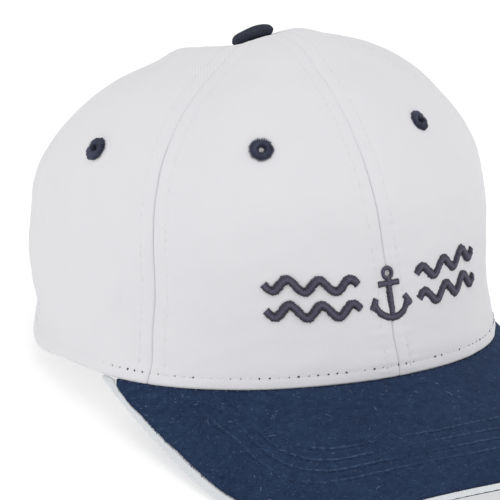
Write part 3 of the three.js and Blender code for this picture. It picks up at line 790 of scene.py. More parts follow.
class Finish:
    """A material and the calls that add its nodes."""

    def __init__(self, name):
        self.material = bpy.data.materials.new(name)
        self.material.use_nodes = True
        self.tree = self.material.node_tree
        self.tree.nodes.clear()

    def node(self, kind, settings=None, values=None, output=0):
        """Adds a node with its settings and the values or links of its sockets, and returns one output."""
        made = self.tree.nodes.new(kind)
        for name, value in (settings or {}).items():
            setattr(made, name, value)
        for name, value in (values or {}).items():
            self.feed(made.inputs[name], value)
        return Socket(self, made.outputs[output])

    def feed(self, socket, value):
        """Links a value that is a socket, and sets any other."""
        if isinstance(value, Socket):
            self.tree.links.new(value.socket, socket)
        else:
            socket.default_value = value

    def cloth_place(self):
        """The piece's own UV, in millimetres, as x and y."""
        uv = self.node("ShaderNodeUVMap", {"uv_map": "cloth"})
        split = self.node("ShaderNodeSeparateXYZ", values={"Vector": uv})
        across = Socket(self, split.socket.node.outputs["Y"])
        return split * 1000, across * 1000

    def noise(self, scale, detail=2.0, rough=0.5):
        """Noise from 0 to 1 over Object coordinates in metres."""
        place = self.node("ShaderNodeTexCoord", output="Object")
        values = {"Vector": place, "Scale": scale, "Detail": detail, "Roughness": rough}
        return self.node("ShaderNodeTexNoise", values=values)

    def mix(self, share, first, second):
        """A colour between two others."""
        made = self.tree.nodes.new("ShaderNodeMix")
        made.data_type = "RGBA"
        for name, value in (("Factor", share), ("A", first), ("B", second)):
            kind = "VALUE" if name == "Factor" else "RGBA"
            found = [s for s in made.inputs if s.name == name and s.type == kind]
            self.feed(found[0], value)
        return Socket(self, [s for s in made.outputs if s.type == "RGBA"][0])

    def surface(self, colour, height=None, distance=0.0001, strength=1.0, **constants):
        """The Principled shader with its output. Constants are set on the shader's own sockets."""
        values = {"Base Color": colour}
        for name, value in constants.items():
            values[name.replace("_", " ")] = value
        if height is not None:
            bumps = {"Height": height, "Distance": distance, "Strength": strength}
            values["Normal"] = self.node("ShaderNodeBump", values=bumps)
        shader = self.node("ShaderNodeBsdfPrincipled", values=values)
        end = self.tree.nodes.new("ShaderNodeOutputMaterial")
        self.feed(end.inputs["Surface"], shader)
        return self.material


def twill_height(finish, pitch, lean, yarn):
    """The raised diagonals of twill, from 0 to 1: a sine across the diagonals, broken by a finer one along
    them where the yarns cross, both shaken a little by noise."""
    x, y = finish.cloth_place()
    shake = finish.noise(420, 2.0) * 1.1
    diagonal = ((x * np.cos(lean) + y * np.sin(lean)) * (2 * np.pi / pitch) + shake).sine()
    crossing = ((y * np.cos(lean) - x * np.sin(lean)) * (2 * np.pi / yarn) + shake).sine()
    return diagonal * 0.28 + crossing * 0.22 + 0.5


def twill_finish(name, light, dark, patch, pitch, lean=TWILL_LEAN, depth=0.00007, strength=0.6, fuzz=0.25):
    """Twill cloth: colour runs from dark between the diagonals to light on them, with cloudy patches and
    fine fuzz; the bump has the same diagonals and the fuzz."""
    finish = Finish(name)
    weave = twill_height(finish, pitch, lean, pitch * 0.55)
    cloud = finish.noise(38, 3.0, 0.55)
    fluff = finish.noise(2600, 3.0, 0.6)
    share = weave * 0.5 + cloud * patch + fluff * fuzz
    colour = finish.mix(share.stepped(0.1, 0.55 + patch), dark, light)
    height = weave + fluff * (fuzz * 1.6)
    return finish.surface(
        colour, height, depth, strength, Roughness=0.9, Sheen_Weight=0.2, Sheen_Roughness=0.5,
        Specular_IOR_Level=0.25,
    )


def thread_finish(name, light, dark, pitch=0.8, rough=0.55, sheen=0.15, shine=0.4):
    """Thread: fine stripes across the piece's own UV, one for each strand, with uneven lightness."""
    finish = Finish(name)
    x, _ = finish.cloth_place()
    strand = (x * (2 * np.pi / pitch)).sine() * 0.5 + 0.5
    uneven = finish.noise(900, 2.0)
    colour = finish.mix(strand * 0.55 + uneven * 0.45, dark, light)
    return finish.surface(
        colour, strand + uneven * 0.5, 0.00006, 0.7, Roughness=rough, Sheen_Weight=sheen,
        Specular_IOR_Level=shine,
    )


def satin_finish(name, light, middle, dark):
    """Satin stitches: a stripe for each thread, a dark line between threads, and a pale gloss, a painted
    highlight, along the middle of the strip, where y is 0, broken from thread to thread."""
    finish = Finish(name)
    x, y = finish.cloth_place()
    strand = (x * (np.pi / SATIN_PITCH)).sine().size()
    uneven = finish.noise(1300, 3.0, 0.6)
    # Painted highlight: the gloss lightens the strip's middle towards the first colour.
    gloss = 1 - (y.size() * (2 / STITCH_WIDTH) + uneven * 0.7).stepped(0.15, 1.05)
    colour = finish.mix((strand * 0.75 + uneven * 0.5).stepped(0.15, 0.85), dark, middle)
    colour = finish.mix(gloss * 0.6, colour, light)
    return finish.surface(
        colour, strand + uneven * 0.4, 0.00012, 0.8, Roughness=0.5, Sheen_Weight=0.03,
        Specular_IOR_Level=0.3,
    )


def linear(red, green, blue):
    """A colour from its screen values, 0 to 255, as the four numbers that a shader takes."""
    share = np.array([red, green, blue]) / 255
    curve = np.where(share <= 0.04045, share / 12.92, ((share + 0.055) / 1.055) ** 2.4)
    return (*curve.tolist(), 1.0)


def brushed_finish(name, light, dark, deep, lint, pitch):
    """Brushed twill: its diagonals are half hidden under a nap that is mottled from one millimetre to five,
    with thin pale fibres, drawn where a noise crosses its middle value, and broken by a second noise. The
    piece's tone paints light and shade: it takes the colour to deep, as painted shade, in the stitched
    grooves and at the join, and to the lint colour, as a painted highlight, on the grooves' upper lips."""
    finish = Finish(name)
    weave = twill_height(finish, pitch, TWILL_LEAN, pitch * 0.6)
    fluff = finish.noise(1500, 4.0, 0.65)
    mottle = finish.noise(330, 4.0, 0.65)
    cloud = finish.noise(45, 2.0)
    share = weave * 0.22 + fluff * 0.5 + mottle * 0.6 + cloud * 0.25
    colour = finish.mix(share.stepped(0.45, 1.15), dark, light)
    fibre = 1 - (finish.noise(560, 2.5, 0.55) - 0.5).size().stepped(0.003, 0.014)
    broken = finish.noise(700, 1.0).stepped(0.5, 0.62)
    tone = finish.node("ShaderNodeAttribute", {"attribute_name": "tone"}, output="Fac")
    uneven = finish.noise(520, 2.0) + 0.25
    # Painted shade: where the tone is above 0, the colour is taken unevenly towards deep.
    colour = finish.mix(tone.stepped(0.0, 1.0) * uneven, colour, deep)
    colour = finish.mix(fibre * broken * 0.36, colour, lint)
    # Painted highlight: where the tone is below 0, the grooves' lips are lightened towards the lint colour.
    pale = (tone * -1).stepped(0.0, 0.5) * finish.noise(800, 2.0).stepped(0.3, 0.6)
    colour = finish.mix(pale * 0.4, colour, lint)
    height = weave * 0.5 + fluff * 0.9 + mottle * 0.7 + fibre * broken * 0.5
    return finish.surface(
        colour, height, 0.0001, 0.55, Roughness=0.92, Sheen_Weight=0.08, Sheen_Roughness=0.4,
        Sheen_Tint=linear(120, 150, 210), Specular_IOR_Level=0.1,
    )


CROWN_CLOTH = twill_finish(
    "crown_twill", linear(222, 221, 224), linear(212, 211, 215), 0.3, 0.68, depth=0.00004, strength=0.4,
)
BAND_FINISH = twill_finish("band_cotton", linear(222, 222, 224), linear(204, 204, 208), 0.2, 0.7)
TRIM_CLOTH = twill_finish(
    "trim_tape", linear(218, 221, 224), linear(184, 188, 192), 0.3, 0.9, np.radians(20), 0.00009, fuzz=0.45,
)
# The peak's third colour is painted shade for its grooves and join; its lint colour is also the painted
# highlight on the grooves' lips.
PEAK_CLOTH = brushed_finish(
    "peak_brushed_twill", linear(44, 62, 91), linear(24, 36, 60), linear(8, 14, 28), linear(104, 124, 156),
    0.85,
)
BUTTON_CLOTH = brushed_finish(
    "button_brushed_twill", linear(66, 69, 82), linear(38, 40, 50), linear(8, 10, 16), linear(96, 104, 124),
    0.8,
)
WHITE_THREAD = thread_finish("white_thread", linear(226, 226, 228), linear(212, 212, 216))
NAVY_THREAD = thread_finish("navy_thread", linear(58, 78, 114), linear(22, 32, 56), sheen=0.0, shine=0.15)
DARK_THREAD = thread_finish("dark_thread", linear(58, 60, 70), linear(34, 36, 46))
LINT = thread_finish("lint", linear(142, 154, 180), linear(92, 106, 136), rough=0.9)
EYELET_THREAD = thread_finish(
    "eyelet_thread", linear(84, 88, 112), linear(26, 28, 40), EYELET_STRAND, rough=0.45, sheen=0.0,
    shine=0.3,
)
# The motif's first colour is the painted highlight of its gloss.
MOTIF_THREAD = satin_finish("motif_thread", linear(108, 104, 128), linear(62, 60, 74), linear(30, 29, 40))


# Panels

def panel_angles(start, stop, t):
    """The angles of a panel's columns from seam to seam, closest near the seams."""
    start, stop = seam_angle(start, t)[:, None], seam_angle(stop, t)[:, None]
    width = per_degree(t)[:, None] * (stop - start)
    zone = np.minimum(PANEL_ZONE, PANEL_ZONE_SHARE * width)
    across = zoned(zone, width, PANEL_CLOSE, PANEL_WIDE) / width
    return start + (stop - start) * across


def panel_heights():
    """The heights of a panel's rows, closest in the hem."""
    hem = np.linspace(0, HEM_TOP, HEM_LEVELS)
    body = np.linspace(HEM_TOP, CROWN_TOP, BODY_LEVELS)
    return np.concatenate([hem, body[1:]])


def back_places(x, z):
    """The angles and heights t of points at x and z on the crown's back: each angle comes from x, and each t
    is found from z."""
    angle_at = lambda t: 180 - np.degrees(np.arcsin(np.clip(x / crown_section(t)["halfWidth"], -1, 1)))
    t = halved(lambda t: smooth_crown(angle_at(t), t)[..., 2] < z, np.full_like(x, 0.6), 40)
    return angle_at(t), t


def arch_side():
    """The right-hand edge of a back panel as angles and heights t: up the rear opening's side, over to its
    top, and up the rear seam."""
    turn = np.linspace(0, np.pi / 2, 60)
    side = np.linspace(-3, ARCH_STRAIGHT, 24, endpoint=False)
    x = np.concatenate([np.full(24, ARCH_HALF_WIDTH), ARCH_HALF_WIDTH * np.cos(turn)])
    z = np.concatenate([side, ARCH_STRAIGHT + ARCH_RISE * np.sin(turn)])
    angle, t = back_places(x, z)
    above = z > smooth_crown(angle, np.zeros_like(t))[..., 2]
    start = 180 - np.degrees(np.arcsin(ARCH_HALF_WIDTH / RIM["halfWidth"]))
    seam = np.linspace(t[-1], CROWN_TOP, 121)[1:]
    angle = np.concatenate([[start], angle[above], np.full(120, 180.0)])
    return angle, np.concatenate([[0.0], t[above], seam])


def by_length(angle, t, count, close):
    """Spreads count places evenly along a line of angles and heights, closer at its start by a share."""
    run = length_along(smooth_crown(angle, t))
    share = np.linspace(0, 1, count)
    share = (1 - close) * share + close * share ** 2
    return np.interp(share * run[-1], run, angle), np.interp(share * run[-1], run, t)


def back_panel_grid(side):
    """Angles and heights of a back panel, laid out as the left one: rows run from the seam on its left to the
    opening and the rear seam on its right, and follow the rim below. A row is a straight line in angle and t
    between its ends. The right panel is turned over, by the sign of its side."""
    seam_t = np.linspace(0, CROWN_TOP, 200)
    seam = side * seam_angle(side * REAR_SEAM, seam_t)
    left_angle, left_t = by_length(seam, seam_t, BACK_LEVELS, 0.25)
    right_angle, right_t = by_length(*arch_side(), BACK_LEVELS, 0.1)
    share = zoned(BACK_ZONE_SHARE, 1, BACK_CLOSE, BACK_WIDE)
    angle = left_angle[:, None] + (right_angle - left_angle)[:, None] * share
    t = left_t[:, None] + (right_t - left_t)[:, None] * share
    return side * angle, t


def make_panel(panel):
    """A sewn panel: the sewn surface outside, the plain one a wall's thickness inside, and a hole under its
    eyelet. The cloth's grain runs up the panel's middle line, turned by the panel's own angle."""
    start, stop = panel["start"], panel["stop"]
    if abs(stop) == 180:
        angle, t = back_panel_grid(np.sign(stop))
    else:
        heights = panel_heights()
        angle = panel_angles(start, stop, heights)
        t = np.broadcast_to(heights[:, None], angle.shape)
    inset = SEAM_JOIN / 2 / per_degree(t)
    low, high = seam_angle(min(start, stop), t), seam_angle(max(start, stop), t)
    angle = np.clip(angle, low + inset, high - inset)
    outer = sewn_crown(angle, t)
    inner = crown_inside(angle, t, CLOTH)
    inner[0] = inner[0] + [0, 0, 1] * (outer[0] - inner[0])
    across = (angle - (start + stop) / 2) * per_degree(t) * CROWN_ROUNDNESS
    up = t * CROWN_LENGTH
    cos, sin = np.cos(np.radians(panel["grain"])), np.sin(np.radians(panel["grain"]))
    grain = np.stack([across * cos - up * sin, across * sin + up * cos], -1)
    centre = 0.25 * (outer[:-1, :-1] + outer[1:, :-1] + outer[:-1, 1:] + outer[1:, 1:])
    keep = np.ones(centre.shape[:2], bool)
    for eyelet in EYELETS:
        hole = sewn_crown(np.array(eyelet["angle"] * 1.0), np.array(eyelet["t"]))
        keep &= np.linalg.norm(centre - hole, axis=-1) > EYELET_CUT
    name = "sewn_" + panel["node"]
    shell_piece(name, outer, inner, grain, CROWN_CLOTH, [panel["node"]], keep)


def make_crown_stitching():
    """White rows on both sides of every seam, the hem's row, the rear opening's row, and the dark points
    where the hem's needle went in."""
    rows = []
    t = np.linspace(0.028, 0.972, 900)
    for number, seam in enumerate(SEAMS):
        for side in (-1, 1):
            angle = seam_angle(seam, t) + side * topstitch_offset(t) / per_degree(t)
            points, normals = sewn_crown(angle, t), crown_normal(angle, t)
            clear = arch_distance(points) > 3.0
            rows.append(sewn_row(
                points[clear], normals[clear], TOPSTITCH_PITCH, TOPSTITCH_GAP, 10 + number + side,
                lift=TOPSTITCH_LIFT,
            ))
    stitch_piece("crown_topstitching", rows, WHITE_THREAD)
    row = sewn_row(*hem_line(154), HEM_PITCH, HEM_GAP, 30, lift=0.03, sink=0.12)
    arch_row = sewn_row(*arch_line(), TOPSTITCH_PITCH, TOPSTITCH_GAP, 31)
    stitch_piece("hem_stitching", [row, arch_row], WHITE_THREAD)
    make_needle_points(*hem_line(NEEDLE_POINTS_END))


def hem_line(last):
    """The hem's row from -last to last, HEM_ROW above the rim, with its normals."""
    angle = np.linspace(-last, last, 1500)
    rim = smooth_crown(angle, 0 * angle)
    is_short = lambda t: np.linalg.norm(smooth_crown(angle, t) - rim, axis=-1) < HEM_ROW
    t = halved(is_short, np.full_like(angle, 0.12), 30)
    return sewn_crown(angle, t), crown_normal(angle, t)


def arch_line():
    """The row beside the rear opening, with its normals: the opening's outline grown by ARCH_ROW and laid on
    the crown."""
    turn = np.linspace(0, np.pi, 240)
    wide, tall = ARCH_HALF_WIDTH + ARCH_ROW, ARCH_RISE + ARCH_ROW
    side = np.linspace(6, ARCH_STRAIGHT, 20, endpoint=False)
    x = np.concatenate([np.full(20, wide), wide * np.cos(turn), np.full(20, -wide)])
    z = np.concatenate([side, ARCH_STRAIGHT + tall * np.sin(turn), side[::-1]])
    angle, t = back_places(x, z)
    return sewn_crown(angle, t), crown_normal(angle, t)


def make_needle_points(points, normals):
    """Short dark threads between the hem's stitches, of uneven size."""
    random = np.random.default_rng(33)
    run = length_along(points)
    count = int(run[-1] / HEM_PITCH)
    s = (np.arange(count) + 0.92 + random.uniform(-0.06, 0.06, count)) * HEM_PITCH
    size = random.choice(NEEDLE_SIZES, count, p=NEEDLE_SHARES)
    middle, out = between(s, run, points), between(s, run, normals)
    along = unit(np.gradient(middle, axis=0))
    up = unit(np.cross(out, along))
    lean = unit(along + up * random.normal(0, 0.8, (count, 1)))
    half = lean * (size * 1.2)[:, None]
    threads = stitch_points(middle - half, middle + half, out, size, 0.1)
    stitch_piece("hem_needle_points", [threads], DARK_THREAD)


# Sweatband and strap

def inside_rows(heights, angle, depth, side, pitch, gap, seed):
    """Stitched rows at the given heights, depth millimetres inside the crown: on the outer face where side
    is 1, and on the inner one where it is -1."""
    rows = []
    for number, height in enumerate(heights):
        t = np.full_like(angle, height)
        points = crown_inside(angle, t, depth)
        rows.append(sewn_row(points, side * crown_normal(angle, t), pitch, gap, seed + number))
    return rows


def make_sweatband():
    """The band inside the rim: two even surfaces a band's thickness apart, with rounded edges, slight waves
    inside, and a stitched row along each edge."""
    angle, t = np.meshgrid(np.linspace(-BAND_END, BAND_END, 210), np.linspace(BAND_LOW, BAND_HIGH, 34))
    edge = np.minimum(t - BAND_LOW, BAND_HIGH - t) * BAND_PER_T
    fold = 0.6 * rolled(edge, 0.55)
    wave = 0.1 * ripple(smooth_crown(angle, t), 41, 9) * smoothstep(edge, 0, 2)
    outer_depth, inner_depth = CLOTH + LINING_GAP, CLOTH + LINING_GAP + BAND_CLOTH
    outer = crown_inside(angle, t, outer_depth + fold)
    inner = crown_inside(angle, t, inner_depth - fold + wave)
    grain = np.stack([np.radians(angle) * MOTIF_RADIUS, t * BAND_PER_T], -1)
    shell_piece("band_inside_rim", outer, inner, grain, BAND_FINISH, ["sweatband"])
    row_angle = np.linspace(-BAND_END + 1, BAND_END - 1, 900)
    heights = (BAND_LOW + BAND_ROW, BAND_HIGH - BAND_ROW)
    rows = inside_rows(heights, row_angle, inner_depth, -1, BAND_PITCH, BAND_GAP, 50)
    stitch_piece("band_stitching", rows, WHITE_THREAD)


def make_strap():
    """The plain strap across the rear opening, with rounded edges and a stitched row along each."""
    angle, t = np.meshgrid(
        180 + np.linspace(-STRAP_HALF_ANGLE, STRAP_HALF_ANGLE, 110), np.linspace(0, STRAP_HIGH, 30),
    )
    edge = np.minimum(t, STRAP_HIGH - t) * STRAP_PER_T
    fold = rolled(edge, 0.65)
    groove = STRAP_ROW_DEPTH * bump(edge - STRAP_ROW, 0.5)
    depth = CLOTH + LINING_GAP
    outer = crown_inside(angle, t, depth + fold + groove)
    inner = crown_inside(angle, t, depth + STRAP_CLOTH - 0.6 * fold)
    grain = np.stack([np.radians(angle) * MOTIF_RADIUS, t * STRAP_PER_T], -1)
    shell_piece("strap_across_back", outer, inner, grain, CROWN_CLOTH, ["back_strap"])
    row_angle = 180 + np.linspace(-STRAP_HALF_ANGLE + 1, STRAP_HALF_ANGLE - 1, 400)
    heights = (STRAP_ROW / STRAP_PER_T, STRAP_HIGH - STRAP_ROW / STRAP_PER_T)
    rows = inside_rows(heights, row_angle, depth + STRAP_ROW_DEPTH, 1, TOPSTITCH_PITCH, TOPSTITCH_GAP, 60)
    stitch_piece("strap_stitching", rows, WHITE_THREAD)


# Eyelets and button

def frame_on_crown(angle, t):
    """A place on the crown with its two tangents and its outward normal."""
    angle, t = np.array(angle * 1.0), np.array(t * 1.0)
    middle = crown_inside(angle, t, 0.0)
    normal = crown_normal(angle, t)
    below_top = np.minimum(t, 0.99)
    along = unit(smooth_crown(angle + 0.5, below_top) - smooth_crown(angle - 0.5, below_top))
    return middle, along, np.cross(normal, along), normal


def turned(middle, along, up, normal, around, radius, height):
    """Points at a radius and height about the normal, at the angle around from the first tangent."""
    flat = along * np.cos(around)[..., None] + up * np.sin(around)[..., None]
    return middle + flat * radius[..., None] + normal * height[..., None]


def make_eyelet(eyelet, seed):
    """A ring of radial stitches: the profile carried round the hole. Each stitch has its own length and
    height, and ends in a point at the ring's outer edge; their ends leave the hole ragged."""
    place = frame_on_crown(eyelet["angle"], eyelet["t"])
    around = np.linspace(0, 2 * np.pi, EYELET_STITCHES * EYELET_SAMPLES, endpoint=False)
    random = np.random.default_rng(seed)
    stitch = around / (2 * np.pi) * EYELET_STITCHES + 0.2 * np.sin(3 * around + seed)
    number = np.round(stitch).astype(int) % EYELET_STITCHES
    reach = random.uniform(0.0, 0.12, EYELET_STITCHES)[number]
    spike = np.cos(np.pi * stitch) ** 2
    share, level = EYELET_PROFILE.T
    outside = share > 0.6
    above = level > -0.05
    longer = 1 + ((reach + 0.16) * spike - 0.13)[:, None] * (outside & above)
    ragged = 0.3 * random.normal(-0.6, 1, EYELET_STITCHES)[number] * spike
    radius = share * EYELET_RADIUS * eyelet["size"] * longer + ragged[:, None] * (~outside & above)
    radius = np.maximum(radius, EYELET_HOLE * 0.55)
    rise = 0.22 * spike + 0.4 * reach - 0.1
    height = level + rise[:, None] * (level > 0.2)
    loops = turned(*place, around[:, None], radius, height)
    turn = np.broadcast_to(around[:, None] * EYELET_STITCHES * EYELET_STRAND / (2 * np.pi), radius.shape)
    uv = np.stack([turn, radius], -1)
    name = "stitched_" + eyelet["node"]
    loop_piece(name, loops, uv, EYELET_THREAD, [eyelet["node"]], ends=False, sharp=70)


def make_button():
    """The cloth-covered button: a flattened dome on a short shank, with shallow pleats where its cloth is
    drawn under the edge. Its washer, shank and underside are the lowest loops."""
    middle, along, _, normal = frame_on_crown(0, 1)
    normal = unit(normal + BUTTON_LEAN)
    along = unit(along - normal * (along @ normal))
    lean = np.linspace(0, 0.985 * np.pi / 2, 22)
    dome_radius = BUTTON_RADIUS * np.cos(lean) ** 0.42
    dome_height = BUTTON_BRIM + (BUTTON_HEIGHT - 1.7) * np.sin(lean) ** 0.85
    radius = np.concatenate([BUTTON_UNDERSIDE[:, 0], dome_radius])[:, None]
    height = np.concatenate([BUTTON_UNDERSIDE[:, 1], dome_height])[:, None] + BUTTON_SEAT
    around = np.linspace(0, 2 * np.pi, BUTTON_AROUND, endpoint=False)[None, :]
    edge = bump(height - BUTTON_SEAT - 1.2, 1.0) * (radius > 5)
    pleats = 0.13 * np.sin(13 * around + 1.5 * np.sin(2 * around)) + 0.06 * np.sin(29 * around)
    radius = radius + edge * pleats
    sag = 0.12 * np.sin(3 * around + 0.6) * smoothstep(height, 1.5, 5)
    up = np.cross(normal, along)
    loops = turned(middle + BUTTON_SHIFT, along, up, normal, around, radius, height + sag)
    uv = np.stack([radius * np.cos(around), radius * np.sin(around)], -1)
    loop_piece("covered_button", loops, uv, BUTTON_CLOTH, ["top_button"], sharp=60)


# Peak

def outline_points():
    """The peak's outer edge in plan, as many close points spread evenly along it. It is a smooth cubic curve
    through the corner and outline points, timed by the root of the distance from each to the next."""
    corner = crown_inside(np.array(PEAK_CORNER), np.array(0.0), 0.0)
    side = [(corner[0], corner[1]), *PEAK_OUTLINE]
    places = [(-x, y) for x, y in side] + [(0, -PEAK_REACH)] + side[::-1]
    p = np.array(places, float)
    p = np.concatenate([[2 * p[0] - p[1]], p, [2 * p[-1] - p[-2]]])
    knot = np.sum(np.diff(p, axis=0) ** 2, axis=1) ** 0.25
    w = np.linspace(0, 1, 300, endpoint=False)[:, None]
    pieces = []
    for k in range(1, len(p) - 2):
        before, here, after = knot[k - 1], knot[k], knot[k + 1]
        a, b, c, d = p[k - 1], p[k], p[k + 1], p[k + 2]
        leave = here * ((b - a) / before - (c - a) / (before + here) + (c - b) / here)
        arrive = here * ((c - b) / here - (d - b) / (here + after) + (d - c) / after)
        square, cube = 3 * (c - b) - 2 * leave - arrive, 2 * (b - c) + leave + arrive
        pieces.append(b + leave * w + square * w ** 2 + cube * w ** 3)
    points = np.concatenate([*pieces, p[-2:-1]])
    run = length_along(points)
    return between(np.linspace(0, run[-1], 4001), run, points)


OUTLINE = outline_points()


def peak_sheet(x, y):
    """The sheet that the peak's upper face follows: an arc across, sunk along a straight slope forwards."""
    droop = np.tan(np.radians(PEAK_DROOP)) * (RIM["frontY"] - y)
    arch = PEAK_ARCH_RADIUS - np.sqrt(PEAK_ARCH_RADIUS ** 2 - x * x)
    return RIM["frontZ"] - droop - arch


def peak_lines(u):
    """Lines of the peak from the rim outwards, for u from -1 at one corner to 1 at the other."""
    angle = u * PEAK_CORNER
    rim = crown_inside(angle, 0 * angle, 0.0)
    outward = unit(crown_normal(angle, 0 * angle)[:, :2])
    share = (1 + u) / 2 * (len(OUTLINE) - 1)
    at = lambda s: between(s, np.arange(len(OUTLINE)), OUTLINE)
    tangent = unit(at(share + 1.5) - at(share - 1.5))
    along = at(share) - rim[:, :2]
    length = np.linalg.norm(along, axis=-1)
    along = along / length[:, None]
    slant = np.abs(along[:, 0] * tangent[:, 1] - along[:, 1] * tangent[:, 0])
    lift = rim[:, 2] - GAP - peak_sheet(rim[:, 0], rim[:, 1])
    strip = strip_width(np.abs(u))
    return {
        "u": u, "rim": rim, "outward": outward, "along": along, "length": length, "slant": slant,
        "lift": lift, "strip": strip, "navy": length - strip / slant,
    }


def strip_width(u):
    """The white strip's width across it, by smooth steps between the table's rows."""
    rows = named(STRIP_COLUMNS, STRIP_ROWS)
    width = rows[0]["width"]
    for here, onward in zip(rows[:-1], rows[1:]):
        width = width + (onward["width"] - here["width"]) * smoothstep(u, here["u"], onward["u"])
    return width


def peak_point(lines, out, down):
    """Points of the peak, out millimetres along each line and down below the upper face. A negative out is
    the seam allowance under the crown's wall. The face keeps the rim's height at the rim and comes down to
    the sheet by the square of what is left of the line."""
    rim = lines["rim"][:, None, :]
    tucked = out < 0
    away = np.where(tucked[..., None], lines["outward"][:, None], lines["along"][:, None])
    plan = rim[..., :2] + away * out[..., None]
    left = 1 - np.minimum(out / lines["length"][:, None], 1)
    sheet = peak_sheet(plan[..., 0], plan[..., 1]) + lines["lift"][:, None] * left ** 2
    z = np.where(tucked, rim[..., 2] - GAP, sheet) - down
    return np.concatenate([plan, z[..., None]], -1)


def row_reach(u, row):
    """How far a stitched row lies from the outer edge along each line: the rows part from the edge towards
    the corners."""
    return row * (1 + PEAK_ROW_PARTING * smoothstep(np.abs(u), 0.28, 0.58))


def row_offset(lines, out, row):
    """Millimetres across from a stitched row, positive towards the crown."""
    past = lines["length"][:, None] - out - row_reach(lines["u"], row)[:, None]
    return past * lines["slant"][:, None]


def cover_reach():
    """How far round the navy covers reach: to where their edge runs in under the crown."""
    u = np.arange(0.998, 0.8, -0.002)
    return u[np.argmax(peak_lines(u)["navy"] >= 1)]


COVER_REACH = cover_reach()


def edge_levels(step):
    """Distances from the navy edge that the cover's grid follows: close at the edge and round the stitched
    rows, wider between."""
    first, last = PEAK_ROWS[0] - TRIM_WIDTH - 4.5, PEAK_ROWS[-1] - TRIM_WIDTH + 2.0
    edge = np.linspace(0, 1.6, 7, endpoint=False)
    return np.concatenate([edge, np.arange(1.6, first, 1.25 * step), np.arange(first, last, 0.4 * step)])


def cover_grid(columns, step):
    """Lines of the peak and, on each, how far out the grid's places lie and their distance from the outer
    edge. Where a line is short, the levels close up so that they stay on it."""
    u = np.linspace(-COVER_REACH, COVER_REACH, columns)
    lines = peak_lines(u)
    levels = edge_levels(step)
    across = (lines["length"] * lines["slant"])[:, None]
    strip = lines["strip"][:, None]
    room = np.minimum(1, (across - strip) / (levels[-1] + 4))
    near = strip + levels[None, :] * room
    share = np.linspace(0, 1, int(26 / step))[None, 1:]
    far = near[:, -1:] + (across - near[:, -1:]) * share
    distance = np.concatenate([near, far], 1)
    out = lines["length"][:, None] - distance / lines["slant"][:, None]
    tuck = np.broadcast_to(np.array([-0.5, -CLOTH]), (len(u), 2))
    out = np.concatenate([np.maximum(out, 0), tuck], 1)
    distance = np.concatenate([distance, across + 0.5, across + CLOTH], 1)
    return lines, out, distance


def cover_relief(lines, out, seed):
    """How far the cover's face lies below the smooth one: the stitched grooves, the puffed cloth between
    them, and faint waves."""
    place = peak_point(lines, np.maximum(out, 0), 0 * out)
    depth = 0.1 * ripple(place, seed, 22) + 0.07 * ripple(place, seed + 1, 6)
    inside = smoothstep(out, 0.5, 6)
    for number, row in enumerate(PEAK_ROWS):
        offset = row_offset(lines, out, row)
        beat = 0.75 + 0.25 * stitch_beat(place, number)
        depth = depth + PEAK_ROW_DEPTH * bump(offset, PEAK_ROW_WIDTH) * beat * inside
        if row != PEAK_ROWS[-1]:
            depth = depth - 0.14 * bump(offset - 2.7, 1.5) * inside
    return depth


def stitch_beat(place, number):
    """From -1 to 1 once for each stitch along a row, by the length of the peak's edge."""
    step = np.linalg.norm(np.diff(place[:, 0], axis=0), axis=-1).mean()
    run = np.arange(place.shape[0])[:, None] * step
    return np.cos(2 * np.pi * (run / PEAK_PITCH + number * 0.37))


def cover_shade_and_highlight(lines, out):
    """Painted shade and highlight: dark in the stitched grooves, more so at each stitch, and at the join,
    where shade falls; light on each groove's lip towards the crown, as a painted highlight. The rows fade
    near the crown."""
    place = peak_point(lines, np.maximum(out, 0), 0 * out)
    shown = smoothstep(out, 2, 22) * (0.7 + 0.3 * ripple(place, 88, 26))
    # Painted shade at the join with the crown.
    tone = 0.4 * (1 - smoothstep(out, 0, 1.6))
    for number, row in enumerate(PEAK_ROWS):
        offset = row_offset(lines, out, row)
        beat = 0.6 + 0.4 * stitch_beat(place, number)
        # Each groove is painted shade, darker at each stitch, and its lip towards the crown is a painted
        # highlight.
        lip = 0.5 * bump(offset - 0.75, 0.35) * (1.15 - 0.6 * beat)
        tone = tone + (0.6 * bump(offset, 0.45) * beat - lip) * shown
    return tone


def make_top_cover():
    """The navy upper face: its edge is rolled, and pulled in a little from place to place."""
    lines, out, distance = cover_grid(TOP_COVER_COLUMNS, TOP_COVER_STEP)
    relief = cover_relief(lines, out, 70)
    inwards = distance - lines["strip"][:, None]
    edge = rolled(inwards, 0.65)
    pull = 0.08 * bump(inwards, 1.2) * ripple(peak_point(lines, out, 0 * out), 72, 4)
    outer = peak_point(lines, out, relief * smoothstep(inwards, 0, 2) + edge + pull)
    inner = peak_point(lines, out, np.full_like(out, TOP_COVER_THICK))
    # The tone is the painted shade of the grooves and join and the painted highlight of the grooves' lips.
    shell_piece(
        "navy_peak_top", outer, inner, outer[..., :2], PEAK_CLOTH, ["peak_top_cover"], sharp=60,
        tone=cover_shade_and_highlight(lines, out),
    )


def make_under_cover():
    """The navy underside with the core it wraps. Its upper face is stepped down to make room for the
    strip."""
    lines, out, distance = cover_grid(UNDER_COVER_COLUMNS, UNDER_COVER_STEP)
    relief = cover_relief(lines, out, 80)
    inwards = distance - lines["strip"][:, None]
    edge = rolled(inwards, 0.9)
    lower = peak_point(lines, out, PEAK_THICK - relief * smoothstep(inwards, 0, 3) - edge)
    seat = np.maximum(lines["navy"] - TRIM_SEAT / lines["slant"], 0)[:, None] + 0.2
    over = TOP_COVER_THICK + GAP
    step = over + (TRIM_THICK + GAP) * smoothstep(out, seat, seat + 0.6)
    upper = peak_point(lines, out, step)
    # The tone is the painted shade of the grooves and join and the painted highlight of the grooves' lips.
    shell_piece(
        "navy_peak_underside", lower, upper, lower[..., :2], PEAK_CLOTH, ["peak_under_cover"],
        sharp=60, tone=cover_shade_and_highlight(lines, out),
    )


